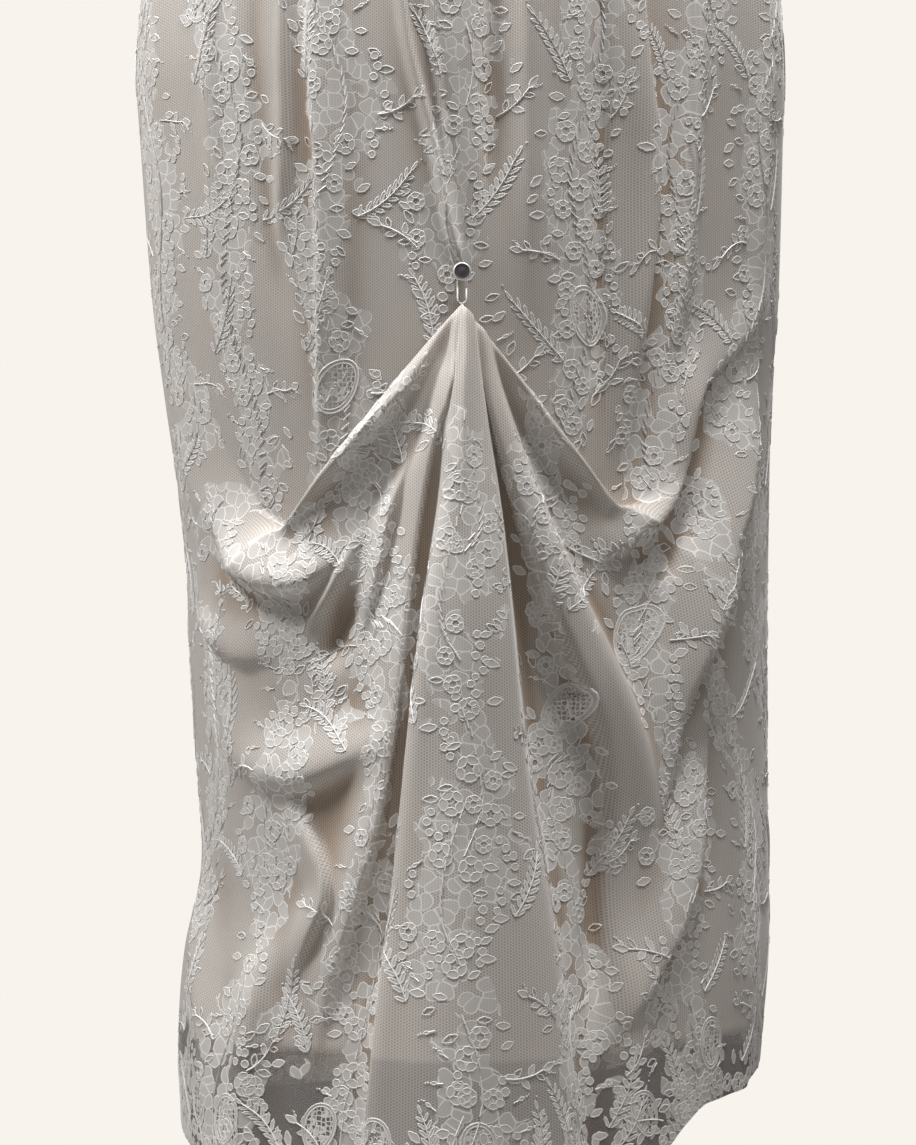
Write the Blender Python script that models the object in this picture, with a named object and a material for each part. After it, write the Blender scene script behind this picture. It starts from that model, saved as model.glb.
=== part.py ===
"""Lace wedding dress, worn and held up at the shoulders, with its train lifted to one button at the back.

Metres, +Z up. The origin lies between the shoulders, level with the underside of the straps. -Y is the
back of the dress, +Y its front, and +X its right-hand side as seen from behind. A place on the cloth is
given by an angle round the body, 0 at centre back and 180 at centre front, and a height below the
shoulders. Cloth stands off the figure's form by a distance measured outwards from it.
"""

import math
from typing import NamedTuple

import bmesh
import bpy
import numpy as np
from mathutils import Vector
from mathutils.bvhtree import BVHTree

MM = 0.001

# Cloth. The folds die away within a seam's ease, an angle from the side seams or a distance below the waist
WALL = 1.5 * MM
SEAM_GAP = 0.3 * MM
WAIST = -420 * MM
HEM = -1462 * MM
HEM_DIP = 10 * MM
LINING_HEM = -1388 * MM
LINING_DEPTH = 9 * MM
LINING_SETTLE = 100 * MM
FORM_RADIUS = 210 * MM
SEAM_EASE = 12.0
BACK_WAIST_EASE = 80 * MM
FRONT_WAIST_EASE = 120 * MM

# The hem is drawn up on the right, from one angle to the next, and falls again round the front
HEM_RISE = 44 * MM
HEM_RISE_START, HEM_RISE_END = 26.0, 47.0
HEM_FALL_START, HEM_FALL_END = 105.0, 165.0

# Bustle
BUTTON_DROP = -879 * MM
PICK_UP = -897 * MM
CUSP_LEFT = -34.0
CUSP_RIGHT = 26.0
CUSP_LEFT_DROP = -1045 * MM
CUSP_RIGHT_DROP = -1030 * MM
CUSP_SHARE = 0.50
POUCH_SAG = 105 * MM
SIDE_FOLD_TOP = -960 * MM
SIDE_FOLD_FOOT = -1110 * MM
FAN_LIFT = 12 * MM
FAN_LIFT_HEM = 26 * MM
FAN_SIDE = 78.0
TUCK_OVERLAP = 60 * MM
TUCK_FADE = 50 * MM
LOOP_CORD = 1.1 * MM
LOOP_HALF_WIDTH = 2.9 * MM
LOOP_OFF_CLOTH = 1.9 * MM
LOOP_END_STEPS = 7
LOOP_SIDE_STEPS = 6
BUTTON_RADIUS = 6 * MM

# Profiles of the turned buttons: radius and distance off the cloth, in millimetres
BUSTLE_PROFILE = ((0, 0), (2, 0), (2, 3.6), (5.3, 3.6), (5.9, 4.1), (6, 5), (5.7, 6), (4.9, 6.7), (0, 7))
CLOSURE_PROFILE = ((0, 0), (3.2, 0), (4.5, 1.3), (4.1, 2.9), (2.5, 3.8), (0, 4.1))

# Bodice
STRAP_INNER, STRAP_OUTER = 25.0, 46.0
CLOSURE_BUTTONS = 8
CLOSURE_TOP, CLOSURE_FOOT = -150 * MM, -402 * MM
CLOSURE_ASIDE = 6 * MM
CLOSURE_EASE = 0.2 * MM
CUP_ANGLE, CUP_DROP = 28.0, -197 * MM
CUP_RADIUS, CUP_HEIGHT = 62 * MM, 20 * MM
CUP_LEVEL_RADIUS = 147 * MM

# Cells of each panel's grid, and how much the back skirt's columns crowd towards the centre
BACK_COLUMNS = 56
BACK_CROWDING = 0.28
FRONT_COLUMNS, FRONT_ROWS = 24, 16
LINING_COLUMNS, LINING_ROWS = 20, 11
BODICE_LOW_ROWS, STRAP_ROWS = 8, 7
BUSTLE_BUTTON_STEPS, CLOSURE_BUTTON_STEPS = 20, 10
FORM_STEP = 20
FOLD_STEP = 4


class Ring(NamedTuple):
    """One level of the figure's form, in millimetres."""

    height: float
    left: float
    right: float
    back: float
    front: float


FORM = (
    Ring(0, 152, 152, 0, 0),
    Ring(-0.6, 152, 152, 10, 10),
    Ring(-7, 154, 154, 27, 27),
    Ring(-22, 158, 158, 46, 47),
    Ring(-50, 162, 162, 66, 68),
    Ring(-90, 165, 165, 86, 90),
    Ring(-135, 166, 166, 102, 108),
    Ring(-185, 165, 165, 110, 116),
    Ring(-240, 158, 158, 109, 112),
    Ring(-300, 148, 148, 104, 106),
    Ring(-360, 140, 140, 102, 103),
    Ring(-420, 138, 138, 104, 104),
    Ring(-470, 160, 160, 122, 112),
    Ring(-530, 186, 186, 140, 124),
    Ring(-600, 211, 211, 152, 135),
    Ring(-660, 225, 224, 157, 142),
    Ring(-720, 230, 228, 158, 146),
    Ring(-774, 227, 227, 157, 148),
    Ring(-880, 219, 224, 155, 149),
    Ring(-951, 210, 219, 153, 149),
    Ring(-1051, 196, 217, 150, 149),
    Ring(-1122, 193, 216, 150, 150),
    Ring(-1200, 188, 216, 152, 152),
    Ring(-1278, 184, 217, 156, 155),
    Ring(-1340, 196, 217, 160, 158),
    Ring(-1400, 200, 212, 163, 161),
    Ring(-1480, 197, 203, 166, 164),
)
WAIST_LEVEL = 11


class Fold(NamedTuple):
    """A raised fold of cloth, or a hollow where the height is negative.

    The path lists angle and height below the shoulders in millimetres, from the top of the fold to its
    foot. The widths on the left and right of the path are in millimetres at its top and at its foot.
    """

    name: str
    path: tuple
    height: float
    left: tuple
    right: tuple
    start: float = 0.0
    end: float = 0.0
    flat: float = 2.0


UPPER_FOLDS = (
    Fold("left hip", ((-66, -480), (-67, -700), (-64, -960)), 3, (16, 16), (16, 20)),
    Fold("left outer", ((-42, -480), (-40, -780), (-38, -1000)), 4, (14, 14), (12, 12)),
    Fold("left soft", ((-32, -520), (-30, -800), (-29, -1000)), 4, (10, 12), (8, 8)),
    Fold("left crisp", ((-25, -560), (-24, -790), (-25, -990)), 7, (12, 12), (9, 9)),
    Fold("drawn crease", ((-14, -500), (-9.5, -702), (-5, -790), (-1, -868)), 5, (14, 10), (11, 9)),
    Fold("centre hollow", ((5, -640), (5, -760), (5, -880)), -3, (10, 10), (10, 10)),
    Fold("plateau", ((12, -500), (12.5, -760), (12, -960)), 4, (14, 16), (14, 16)),
    Fold("right hollow", ((22, -560), (23, -860), (23, -1010)), -4, (12, 12), (12, 12)),
    Fold("right crisp", ((35, -480), (34, -702), (31, -880), (28, -1050)), 9, (9, 9), (16, 14)),
    Fold("right second", ((46, -480), (44, -702), (43, -960)), 4, (12, 12), (12, 12)),
    Fold("right outer", ((64, -480), (62, -720), (63, -940)), 4, (16, 16), (14, 14)),
)

TRAIN_FOLDS = (
    Fold("centre", ((0.5, -905), (1.3, -1014), (3, -1196), (3.5, -1500)), 42, (5, 62), (5, 66),
         end=1, flat=4),
    Fold("left ridge", ((-2, -915), (-12, -1040), (-19, -1196), (-24, -1340), (-27, -1500)), 20,
         (9, 26), (9, 16), end=0.7),
    Fold("left band", ((-4, -925), (-18, -1000), (-32, -1062)), 7, (14, 18), (12, 18)),
    Fold("left swag", ((-70, -985), (-46, -1048), (-33, -1070), (-20, -1050)), 12, (26, 26), (13, 13)),
    Fold("left second swag", ((-74, -1105), (-48, -1124), (-28, -1130), (-18, -1100)), 11,
         (24, 24), (14, 14)),
    Fold("left pointed swag", ((-56, -1140), (-33, -1228), (-24, -1275)), 12, (26, 26), (14, 14)),
    Fold("left side", ((-60, -1190), (-64, -1330), (-62, -1500)), 8, (12, 12), (26, 26), end=1),
    Fold("left low", ((-36, -1270), (-41, -1380), (-43, -1500)), 12, (22, 24), (18, 20), end=1),
    Fold("right fold", ((3, -915), (9, -1014), (16, -1105), (24, -1190), (28, -1270)), 18, (9, 12), (9, 26)),
    Fold("right low", ((26, -1250), (30, -1380), (31, -1500)), 10, (14, 16), (18, 20), end=1),
    Fold("right swag", ((76, -915), (66, -1000), (54, -1092), (45, -1150), (38, -1210), (33, -1290),
                        (31, -1380)), 12, (24, 24), (34, 34)),
    Fold("right pouch", ((74, -930), (60, -1010), (45, -1044), (29, -1058)), 9, (26, 26), (20, 20)),
    Fold("right under", ((60, -1200), (62, -1340), (60, -1500)), 4, (16, 16), (16, 16), end=1),
)

FRONT_FOLDS = (
    Fold("front left", ((-136, -620), (-134, -1000), (-132, -1500)), 7, (24, 34), (24, 34), end=1),
    Fold("front middle left", ((-163, -700), (-165, -1050), (-166, -1500)), 5, (20, 30), (20, 30), end=1),
    Fold("front middle right", ((168, -640), (166, -1020), (163, -1500)), 6, (22, 32), (22, 32), end=1),
    Fold("front right", ((134, -600), (137, -980), (138, -1500)), 7, (24, 34), (24, 34), end=1),
    Fold("front far right", ((108, -720), (109, -1100), (110, -1500)), 4, (18, 24), (18, 24), end=1),
    Fold("front far left", ((-110, -680), (-108, -1080), (-107, -1500)), 4, (18, 24), (18, 24), end=1),
)


class Row(NamedTuple):
    """Rows of the back skirt's grid: shares of the way along one stretch of cloth, and its layer."""

    stretch: int
    layer: float
    shares: tuple


BACK_ROWS = (
    Row(0, 0.0, (0, 0.12, 0.26, 0.40, 0.53, 0.65, 0.76, 0.86, 0.95, 0.99)),
    Row(1, 0.5, (0.01, 0.10, 0.50, 0.90, 0.99)),
    Row(2, 1.0, (0.004, 0.03, 0.08, 0.15, 0.23, 0.32, 0.41, 0.51, 0.61, 0.71, 0.81, 0.91, 1)),
)


def smooth_step(value):
    """0 below 0, 1 above 1 and a smooth rise between."""
    share = np.clip(value, 0, 1)
    return share * share * (3 - 2 * share)


def curve_through(points, count):
    """Points evenly spread in parameter on a Catmull-Rom curve through the given ones."""
    given = np.array(points, float)
    ends = np.vstack([2 * given[0] - given[1], given, 2 * given[-1] - given[-2]])
    place = np.linspace(0, len(given) - 1, count)
    at = np.minimum(place.astype(int), len(given) - 2)
    t = (place - at)[:, None]
    a, b, c, d = (ends[at + k] for k in range(4))
    return 0.5 * (2 * b + (c - a) * t + (2 * a - 5 * b + 4 * c - d) * t**2 + (3 * b - a - 3 * c + d) * t**3)


FORM_CURVE = curve_through(FORM, FORM_STEP * (len(FORM) - 1) + 1) * MM


def form_point(angle, left, right, back, front):
    """A point of an oval level, and the way out of it."""
    turn = np.radians(angle)
    side = np.where(np.sin(turn) < 0, left, right)
    deep = np.where(np.cos(turn) > 0, back, front)
    across, along = side * np.sin(turn), -deep * np.cos(turn)
    out_x, out_y = deep * np.sin(turn), -side * np.cos(turn)
    length = np.maximum(np.hypot(out_x, out_y), 1e-9)
    return across, along, out_x / length, out_y / length


def skirt_point(angle, height, lift):
    """Points of the skirt at the given angles and heights, lifted off the form."""
    table = FORM_CURVE[WAIST_LEVEL * FORM_STEP:][::-1]
    left, right, back, front = (np.interp(height, table[:, 0], table[:, k]) for k in range(1, 5))
    x, y, out_x, out_y = form_point(angle, left, right, back, front)
    return np.stack([x + lift * out_x, y + lift * out_y, height], axis=-1)


def fold_lift(folds, angle, height):
    """How far a set of folds raises the cloth at the given angles and heights."""
    across = np.radians(angle) * FORM_RADIUS
    lift = np.zeros_like(across)
    for fold in folds:
        path = curve_through(fold.path, FOLD_STEP * len(fold.path) + 1)
        path = np.stack([np.radians(path[:, 0]) * FORM_RADIUS, path[:, 1] * MM], axis=1)
        best = np.full(across.shape, np.inf)
        share = np.zeros_like(across)
        side = np.zeros_like(across)
        for k, (start, end) in enumerate(zip(path[:-1], path[1:])):
            way = end - start
            from_x, from_z = across - start[0], height - start[1]
            t = np.clip((from_x * way[0] + from_z * way[1]) / way.dot(way), 0, 1)
            away = np.hypot(from_x - t * way[0], from_z - t * way[1])
            nearer = away < best
            best = np.where(nearer, away, best)
            share = np.where(nearer, (k + t) / (len(path) - 1), share)
            side = np.where(nearer, way[0] * from_z - way[1] * from_x, side)
        left = np.interp(share, (0, 1), fold.left)
        right = np.interp(share, (0, 1), fold.right)
        width = np.where(side < 0, left, right) * MM
        rise = fold.start + (1 - fold.start) * smooth_step(share / 0.4)
        fade = fold.end + (1 - fold.end) * smooth_step((1 - share) / 0.4)
        lift += fold.height * MM * rise * fade * np.exp(-((best / width) ** fold.flat))
    return lift


def hem_rise(angle):
    """How far the hem is drawn up on the right, where the swag pulls it."""
    risen = smooth_step((angle - HEM_RISE_START) / (HEM_RISE_END - HEM_RISE_START))
    return HEM_RISE * risen * smooth_step((HEM_FALL_END - angle) / (HEM_FALL_END - HEM_FALL_START))


def cusp_of(angle):
    """The angle and height of the cusp on the side where an angle lies."""
    right = angle > 0
    return np.where(right, CUSP_RIGHT, CUSP_LEFT), np.where(right, CUSP_RIGHT_DROP, CUSP_LEFT_DROP)


def back_curves(columns):
    """Angle and height, for each column, at the waist, the hidden fold, the lifted edge and the hem."""
    cusp, cusp_drop = cusp_of(columns)
    inner = np.minimum(np.abs(columns) / CUSP_SHARE, 1)
    outer = np.clip((np.abs(columns) - CUSP_SHARE) / (1 - CUSP_SHARE), 0, 1)
    parted = smooth_step(2 * outer)
    side = 90 * np.sign(columns)
    gather = inner**1.5
    angle = cusp * gather + (side - cusp) * outer
    hidden = cusp * inner**1.15 + (side - cusp) * outer
    fold = cusp_drop - POUCH_SAG * (1 - inner**2) + (SIDE_FOLD_TOP - cusp_drop) * parted
    edge = PICK_UP + (cusp_drop - PICK_UP) * gather + (SIDE_FOLD_FOOT - cusp_drop) * parted
    hem = HEM - HEM_DIP * np.cos(np.radians(90 * columns)) + hem_rise(90 * columns)
    waist = np.full_like(columns, WAIST - SEAM_GAP / 2)
    straight = 90 * columns
    return (straight, waist), (hidden, fold), (angle, edge), (straight, hem)


def back_rows(columns):
    """Angle, height and layer of every grid point of the back skirt, its rows rounded at the turns."""
    curves = back_curves(columns)
    opened = smooth_step((np.abs(columns) / CUSP_SHARE - 0.7) / 0.35)
    angles, heights, layers = [], [], []
    for row in BACK_ROWS:
        (top_angle, top), (foot_angle, foot) = curves[row.stretch], curves[row.stretch + 1]
        spread = opened if row.stretch == 1 else np.zeros_like(columns)
        for share in row.shares:
            angles.append(top_angle + (foot_angle - top_angle) * share)
            heights.append(top + (foot - top) * share)
            layers.append(row.layer + (share - 0.5) * spread)
    grid = np.stack([np.array(angles), np.array(heights), np.array(layers)], axis=-1)
    rounded = grid.copy()
    rounded[1:-1] = (grid[:-2] + 4 * grid[1:-1] + grid[2:]) / 6
    return rounded[..., 0], rounded[..., 1], rounded[..., 2]


def edge_height(angle):
    """Height of the lifted edge of the train at an angle, and of the swags' shoulders beyond the cusps."""
    cusp, cusp_drop = cusp_of(angle)
    share = np.clip(np.abs(angle / cusp), 0, 1)
    return PICK_UP + (cusp_drop - PICK_UP) * share


def upper_lift(angle, height):
    """Lift of the upper cloth, which lies flat behind the lifted train."""
    seam = smooth_step((90 - np.abs(angle)) / SEAM_EASE) * smooth_step((WAIST - height) / BACK_WAIST_EASE)
    shown = smooth_step((height - edge_height(angle) + TUCK_OVERLAP) / TUCK_FADE)
    return fold_lift(UPPER_FOLDS, angle, height) * seam * shown


def train_lift(angle, height):
    """Lift of the fan and of the swags, falling to nothing at the side seams."""
    cusp, _ = cusp_of(angle)
    share = np.clip((PICK_UP - height) / (PICK_UP - HEM), 0, 1)
    beyond = (np.abs(angle) - np.abs(cusp)) / (FAN_SIDE - np.abs(cusp))
    stand = (FAN_LIFT + (FAN_LIFT_HEM - FAN_LIFT) * share) * (1 - smooth_step(beyond))
    seam = smooth_step((90 - np.abs(angle)) / SEAM_EASE)
    return stand + fold_lift(TRAIN_FOLDS, angle, height) * seam


def back_points():
    """Grid of the whole back skirt: upper cloth, hidden fold, lifted edge and train."""
    even = np.linspace(-1, 1, BACK_COLUMNS + 1)
    columns = even * (1 - BACK_CROWDING + BACK_CROWDING * even**2)
    angle, height, layer = back_rows(columns)
    lift = (1 - layer) * upper_lift(angle, height) + layer * train_lift(angle, height)
    points = skirt_point(angle, height, lift)
    points[..., 1] -= SEAM_GAP / 2
    return points


def panel_grid(first, last, hem, columns, rows):
    """Angles and heights of an even grid from the waist seam to a hem."""
    heights = np.linspace(WAIST - SEAM_GAP / 2, hem, rows + 1)
    return np.meshgrid(np.linspace(first, last, columns + 1), heights)


def front_points():
    """Grid of the front skirt."""
    angle, height = panel_grid(90, 270, HEM, FRONT_COLUMNS, FRONT_ROWS)
    height += hem_rise(angle) * (WAIST - height) / (WAIST - HEM)
    turned = np.where(angle > 180, angle - 360, angle)
    seam = smooth_step((90 - np.abs(180 - angle)) / SEAM_EASE)
    below = smooth_step((WAIST - height) / FRONT_WAIST_EASE)
    points = skirt_point(angle, height, fold_lift(FRONT_FOLDS, turned, height) * seam * below)
    points[..., 1] += SEAM_GAP / 2
    return points


def lining_points(first, last, side):
    """Grid of one lining panel, which hangs inside the lace from the waist seam."""
    angle, height = panel_grid(first, last, LINING_HEM, LINING_COLUMNS, LINING_ROWS)
    at_seam = WALL + 2 * SEAM_GAP
    depth = at_seam + (LINING_DEPTH - at_seam) * smooth_step((WAIST - height) / LINING_SETTLE)
    points = skirt_point(angle, height, -depth)
    points[..., 1] += side * SEAM_GAP / 2
    return points


def bodice_point(angle, level):
    """Points of the bodice at the given angles and levels of the form's table, with the cups raised."""
    place = level * FORM_STEP
    steps = np.arange(len(FORM_CURVE))
    height, left, right, back, front = (np.interp(place, steps, FORM_CURVE[:, k]) for k in range(5))
    x, y, out_x, out_y = form_point(angle, left, right, back, front)
    from_front = np.where(angle > 0, 180 - angle, -180 - angle)
    aside = np.radians(np.abs(from_front) - CUP_ANGLE) * CUP_LEVEL_RADIUS
    away = np.hypot(aside, height - CUP_DROP)
    lift = CUP_HEIGHT * np.exp(-((away / CUP_RADIUS) ** 2))
    return np.stack([x + lift * out_x, y + lift * out_y, height], axis=-1)


class NeckPoint(NamedTuple):
    """Where the bodice's top edge crosses a column: angle from the middle, and level of the form."""

    angle: float
    front: float
    back: float


NECK = (
    NeckPoint(0, 6.6, 6.3),
    NeckPoint(10, 6.4, 6.1),
    NeckPoint(19, 5.9, 5.6),
    NeckPoint(STRAP_INNER, 5.3, 5.0),
    NeckPoint(32, 5.3, 5.1),
    NeckPoint(39, 5.5, 5.3),
    NeckPoint(STRAP_OUTER, 5.9, 5.8),
    NeckPoint(56, 6.6, 6.6),
    NeckPoint(72, 7.0, 7.0),
    NeckPoint(90, 7.1, 7.1),
)


def bodice_points(front, sides):
    """Grid of a bodice panel: rows up to the neck and armhole, then the rows of its straps."""
    half = [(point.angle, point.front if front else point.back) for point in NECK]
    columns = [(side * angle, level) for side in sides for angle, level in half]
    columns = sorted(set(columns))
    angle = np.array([column[0] for column in columns])
    top = np.array([column[1] for column in columns])
    low = [WAIST_LEVEL + (top - WAIST_LEVEL) * k / BODICE_LOW_ROWS for k in range(BODICE_LOW_ROWS + 1)]
    strap = [top * (1 - k / STRAP_ROWS) for k in range(1, STRAP_ROWS + 1)]
    level = np.array(low + strap)
    angles = np.broadcast_to(angle, level.shape)
    around = np.where(angles < 0, -180 - angles, 180 - angles) if front else angles
    points = bodice_point(around, level)
    points[..., 1] += SEAM_GAP / 2 if front else -SEAM_GAP / 2
    points[0, :, 2] += SEAM_GAP / 2
    if len(sides) == 1:
        points[..., 0] += sides[0] * SEAM_GAP / 2
    middle = (np.abs(angle[:-1]) + np.abs(angle[1:])) / 2
    on_strap = (middle > STRAP_INNER) & (middle < STRAP_OUTER)
    rows = np.arange(level.shape[0] - 1)[:, None]
    return points, (rows < BODICE_LOW_ROWS) | on_strap[None, :]


def material(name, colour, roughness, metallic=0.0):
    """A plain surface finish."""
    made = bpy.data.materials.new(name)
    made.use_nodes = True
    shader = made.node_tree.nodes["Principled BSDF"]
    shader.inputs["Base Color"].default_value = (*colour, 1)
    shader.inputs["Roughness"].default_value = roughness
    shader.inputs["Metallic"].default_value = metallic
    made.diffuse_color = (*colour, 1)
    return made


def place(name, shape, finish):
    """Turns a bmesh into a named, smooth-shaded object of the scene."""
    mesh = bpy.data.meshes.new(name)
    bmesh.ops.recalc_face_normals(shape, faces=shape.faces)
    shape.to_mesh(mesh)
    shape.free()
    mesh.materials.append(finish)
    mesh.shade_smooth()
    mesh.set_sharp_from_angle(angle=math.radians(50))
    made = bpy.data.objects.new(name, mesh)
    bpy.context.scene.collection.objects.link(made)
    return made


def cloth(name, points, finish, kept=None):
    """A cloth panel: a grid laid on the given points, cut to its outline and given its wall."""
    rows, columns = points.shape[0] - 1, points.shape[1] - 1
    shape = bmesh.new()
    bmesh.ops.create_grid(shape, x_segments=columns, y_segments=rows, size=1)
    spare = []
    for face in shape.faces:
        middle = face.calc_center_median()
        row, column = int((middle.y + 1) / 2 * rows), int((middle.x + 1) / 2 * columns)
        if kept is not None and not kept[row, column]:
            spare.append(face)
    for corner in shape.verts:
        row, column = round((corner.co.y + 1) / 2 * rows), round((corner.co.x + 1) / 2 * columns)
        corner.co = points[row, column]
    bmesh.ops.delete(shape, geom=spare, context="FACES")
    made = place(name, shape, finish)
    wall = made.modifiers.new("Wall", "SOLIDIFY")
    wall.thickness = WALL
    wall.offset = 0
    return made


def turned_button(name, seat, outwards, profile, segments, finish):
    """A button turned round the way it faces, from its profile of radius and distance off the cloth."""
    shape = bmesh.new()
    corners = [shape.verts.new((radius * MM, 0, out * MM)) for radius, out in profile]
    edges = [shape.edges.new(pair) for pair in zip(corners[:-1], corners[1:])]
    bmesh.ops.spin(shape, geom=corners + edges, cent=(0, 0, 0), axis=(0, 0, 1),
                   angle=math.tau, steps=segments, use_duplicate=False)
    bmesh.ops.remove_doubles(shape, verts=shape.verts, dist=1e-6)
    made = place(name, shape, finish)
    made.location = seat
    made.rotation_euler = outwards.to_track_quat("Z", "Y").to_euler()
    return made


def seat_on(panel, across, height):
    """Where a piece sewn on the back of a panel sits, and the way out of the cloth there."""
    tree = BVHTree.FromObject(panel, bpy.context.evaluated_depsgraph_get())
    place_on, outwards, _, _ = tree.ray_cast(Vector((across, -1, height)), Vector((0, 1, 0)))
    return place_on + SEAM_GAP * outwards, outwards


def closure_buttons(panel, finish):
    """The row of covered buttons beside the centre back, each seated on the right back bodice."""
    for count, height in enumerate(np.linspace(CLOSURE_TOP, CLOSURE_FOOT, CLOSURE_BUTTONS), start=1):
        seat, outwards = seat_on(panel, CLOSURE_ASIDE, height)
        seat = seat + CLOSURE_EASE * outwards
        name = f"closure_button_{count}"
        turned_button(name, seat, outwards, CLOSURE_PROFILE, CLOSURE_BUTTON_STEPS, finish)


def bustle_loop(seat, crest, finish):
    """The thread loop, round the button's shank above and on the top of the gathered train below."""
    top = seat.z
    foot = crest.z + WALL / 2 + SEAM_GAP + LOOP_CORD / 2 + LOOP_HALF_WIDTH
    outline = []
    for middle, first in ((top, 0), (foot, math.pi)):
        for k in range(LOOP_END_STEPS + 1):
            turn = first + math.pi * k / LOOP_END_STEPS
            outline.append((LOOP_HALF_WIDTH * math.cos(turn), middle + LOOP_HALF_WIDTH * math.sin(turn)))
        far = foot + top - middle
        for k in range(1, LOOP_SIDE_STEPS):
            height = middle + (far - middle) * k / LOOP_SIDE_STEPS
            outline.append((-LOOP_HALF_WIDTH * math.cos(first), height))
    curve = bpy.data.curves.new("bustle_loop", "CURVE")
    curve.dimensions = "3D"
    curve.bevel_depth = LOOP_CORD / 2
    curve.bevel_resolution = 1
    spline = curve.splines.new("POLY")
    spline.points.add(len(outline) - 1)
    for point, (across, height) in zip(spline.points, outline):
        lean = float(smooth_step((top - BUTTON_RADIUS - height) / (top - BUTTON_RADIUS - foot)))
        out = seat.y - LOOP_OFF_CLOTH + lean * (crest.y - seat.y + LOOP_OFF_CLOTH)
        point.co = (across, out, height, 1)
    spline.use_cyclic_u = True
    curve.materials.append(finish)
    made = bpy.data.objects.new("bustle_loop", curve)
    bpy.context.scene.collection.objects.link(made)
    return made


def main():
    """Builds every piece of the dress."""
    for old in list(bpy.data.objects):
        bpy.data.objects.remove(old)
    lace = material("Lace", (0.80, 0.76, 0.71), 0.75)
    satin = material("Champagne lining", (0.52, 0.42, 0.34), 0.45)
    metal = material("Dark polished metal", (0.16, 0.15, 0.15), 0.25, 1.0)
    thread = material("Thread", (0.86, 0.84, 0.80), 0.7)
    back = back_points()
    skirt = cloth("skirt_back", back, lace)
    cloth("skirt_front", front_points(), lace)
    cloth("lining_back", lining_points(-90, 90, -1), satin)
    cloth("lining_front", lining_points(90, 270, 1), satin)
    bodice = {}
    for name, front, sides in (
        ("bodice_front", True, (-1, 1)),
        ("bodice_back_left", False, (-1,)),
        ("bodice_back_right", False, (1,)),
    ):
        points, kept = bodice_points(front, sides)
        bodice[name] = cloth(name, points, lace, kept)
    bpy.context.view_layer.update()
    closure_buttons(bodice["bodice_back_right"], lace)
    seat, _ = seat_on(skirt, 0, BUTTON_DROP)
    lifted = back[len(BACK_ROWS[0].shares) + 1:, back.shape[1] // 2]
    crest = Vector(lifted[lifted[:, 2].argmax()])
    turned_button("bustle_button", seat, Vector((0, -1, 0)), BUSTLE_PROFILE, BUSTLE_BUTTON_STEPS, metal)
    bustle_loop(seat, crest, thread)


main()
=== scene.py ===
"""Lace wedding dress with its train lifted to one button at the back: its net, lace, lining and fastenings.

Metres, +Z up. -Y is the back of the dress, +Y its front, and +X its right-hand side as seen from behind.
A place on the cloth is an angle round the body, 0 at centre back and 180 at centre front, and a height
below the shoulders, which are at the origin.
"""

import logging
import math
from dataclasses import dataclass, field
from enum import Enum
from typing import Callable, Iterable, Optional, Sequence

import bmesh
import bpy
import numpy as np
from mathutils import Euler, Matrix, Vector

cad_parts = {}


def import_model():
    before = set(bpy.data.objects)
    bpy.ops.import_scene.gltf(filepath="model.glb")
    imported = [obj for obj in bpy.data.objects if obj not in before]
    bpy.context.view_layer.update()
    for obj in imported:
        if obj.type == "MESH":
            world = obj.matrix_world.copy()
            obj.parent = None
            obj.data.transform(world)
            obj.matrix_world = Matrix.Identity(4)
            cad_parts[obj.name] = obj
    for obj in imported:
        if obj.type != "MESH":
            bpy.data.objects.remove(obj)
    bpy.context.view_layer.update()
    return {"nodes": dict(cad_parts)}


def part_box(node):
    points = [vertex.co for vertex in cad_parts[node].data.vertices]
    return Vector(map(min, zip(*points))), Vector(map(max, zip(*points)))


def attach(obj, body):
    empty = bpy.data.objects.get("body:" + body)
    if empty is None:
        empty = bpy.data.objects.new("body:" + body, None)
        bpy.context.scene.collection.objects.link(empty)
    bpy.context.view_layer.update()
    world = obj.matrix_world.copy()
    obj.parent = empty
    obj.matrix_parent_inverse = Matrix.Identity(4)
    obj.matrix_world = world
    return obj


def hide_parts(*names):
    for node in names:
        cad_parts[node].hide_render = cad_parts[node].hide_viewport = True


MM = 0.001
BODY = "root"
LOG = logging.getLogger("wedding_dress")


# Shader building

def maths(operation: str, swapped: bool = False) -> Callable:
    """Makes a method of Expr that adds a Math node.

    Args:
        operation: the node's operation.
        swapped: whether the expression itself is the last operand.

    Returns:
        The method.
    """
    def method(self: "Expr", *others: "float | Expr") -> "Expr":
        """Works the operation out on the expression and the other values."""
        values = (*others, self) if swapped else (self, *others)
        return self.nodes.add("ShaderNodeMath", {"operation": operation}, dict(enumerate(values)))

    return method


class Expr:
    """A socket of a material's node tree that can be used in Python expressions."""

    __add__, __radd__ = maths("ADD"), maths("ADD", True)
    __sub__, __rsub__ = maths("SUBTRACT"), maths("SUBTRACT", True)
    __mul__, __rmul__ = maths("MULTIPLY"), maths("MULTIPLY", True)
    __truediv__, __abs__ = maths("DIVIDE"), maths("ABSOLUTE")
    above, greater, remainder = maths("GREATER_THAN"), maths("MAXIMUM"), maths("FLOORED_MODULO")
    cosine, rounded = maths("COSINE"), maths("ROUND")

    def __init__(self, nodes: "Nodes", socket: bpy.types.NodeSocket) -> None:
        """Wraps a socket of the given node tree."""
        self.nodes = nodes
        self.socket = socket

    def __neg__(self) -> "Expr":
        """The value with its sign turned."""
        return self * -1.0

    def smooth(self, low: float, high: float, start: float = 0.0, end: float = 1.0) -> "Expr":
        """A smooth change from start to end as the value goes from low to high."""
        return self.nodes.add("ShaderNodeMapRange", {"interpolation_type": "SMOOTHSTEP"},
                              {"Value": self, "From Min": low, "From Max": high, "To Min": start, "To Max": end})


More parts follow.
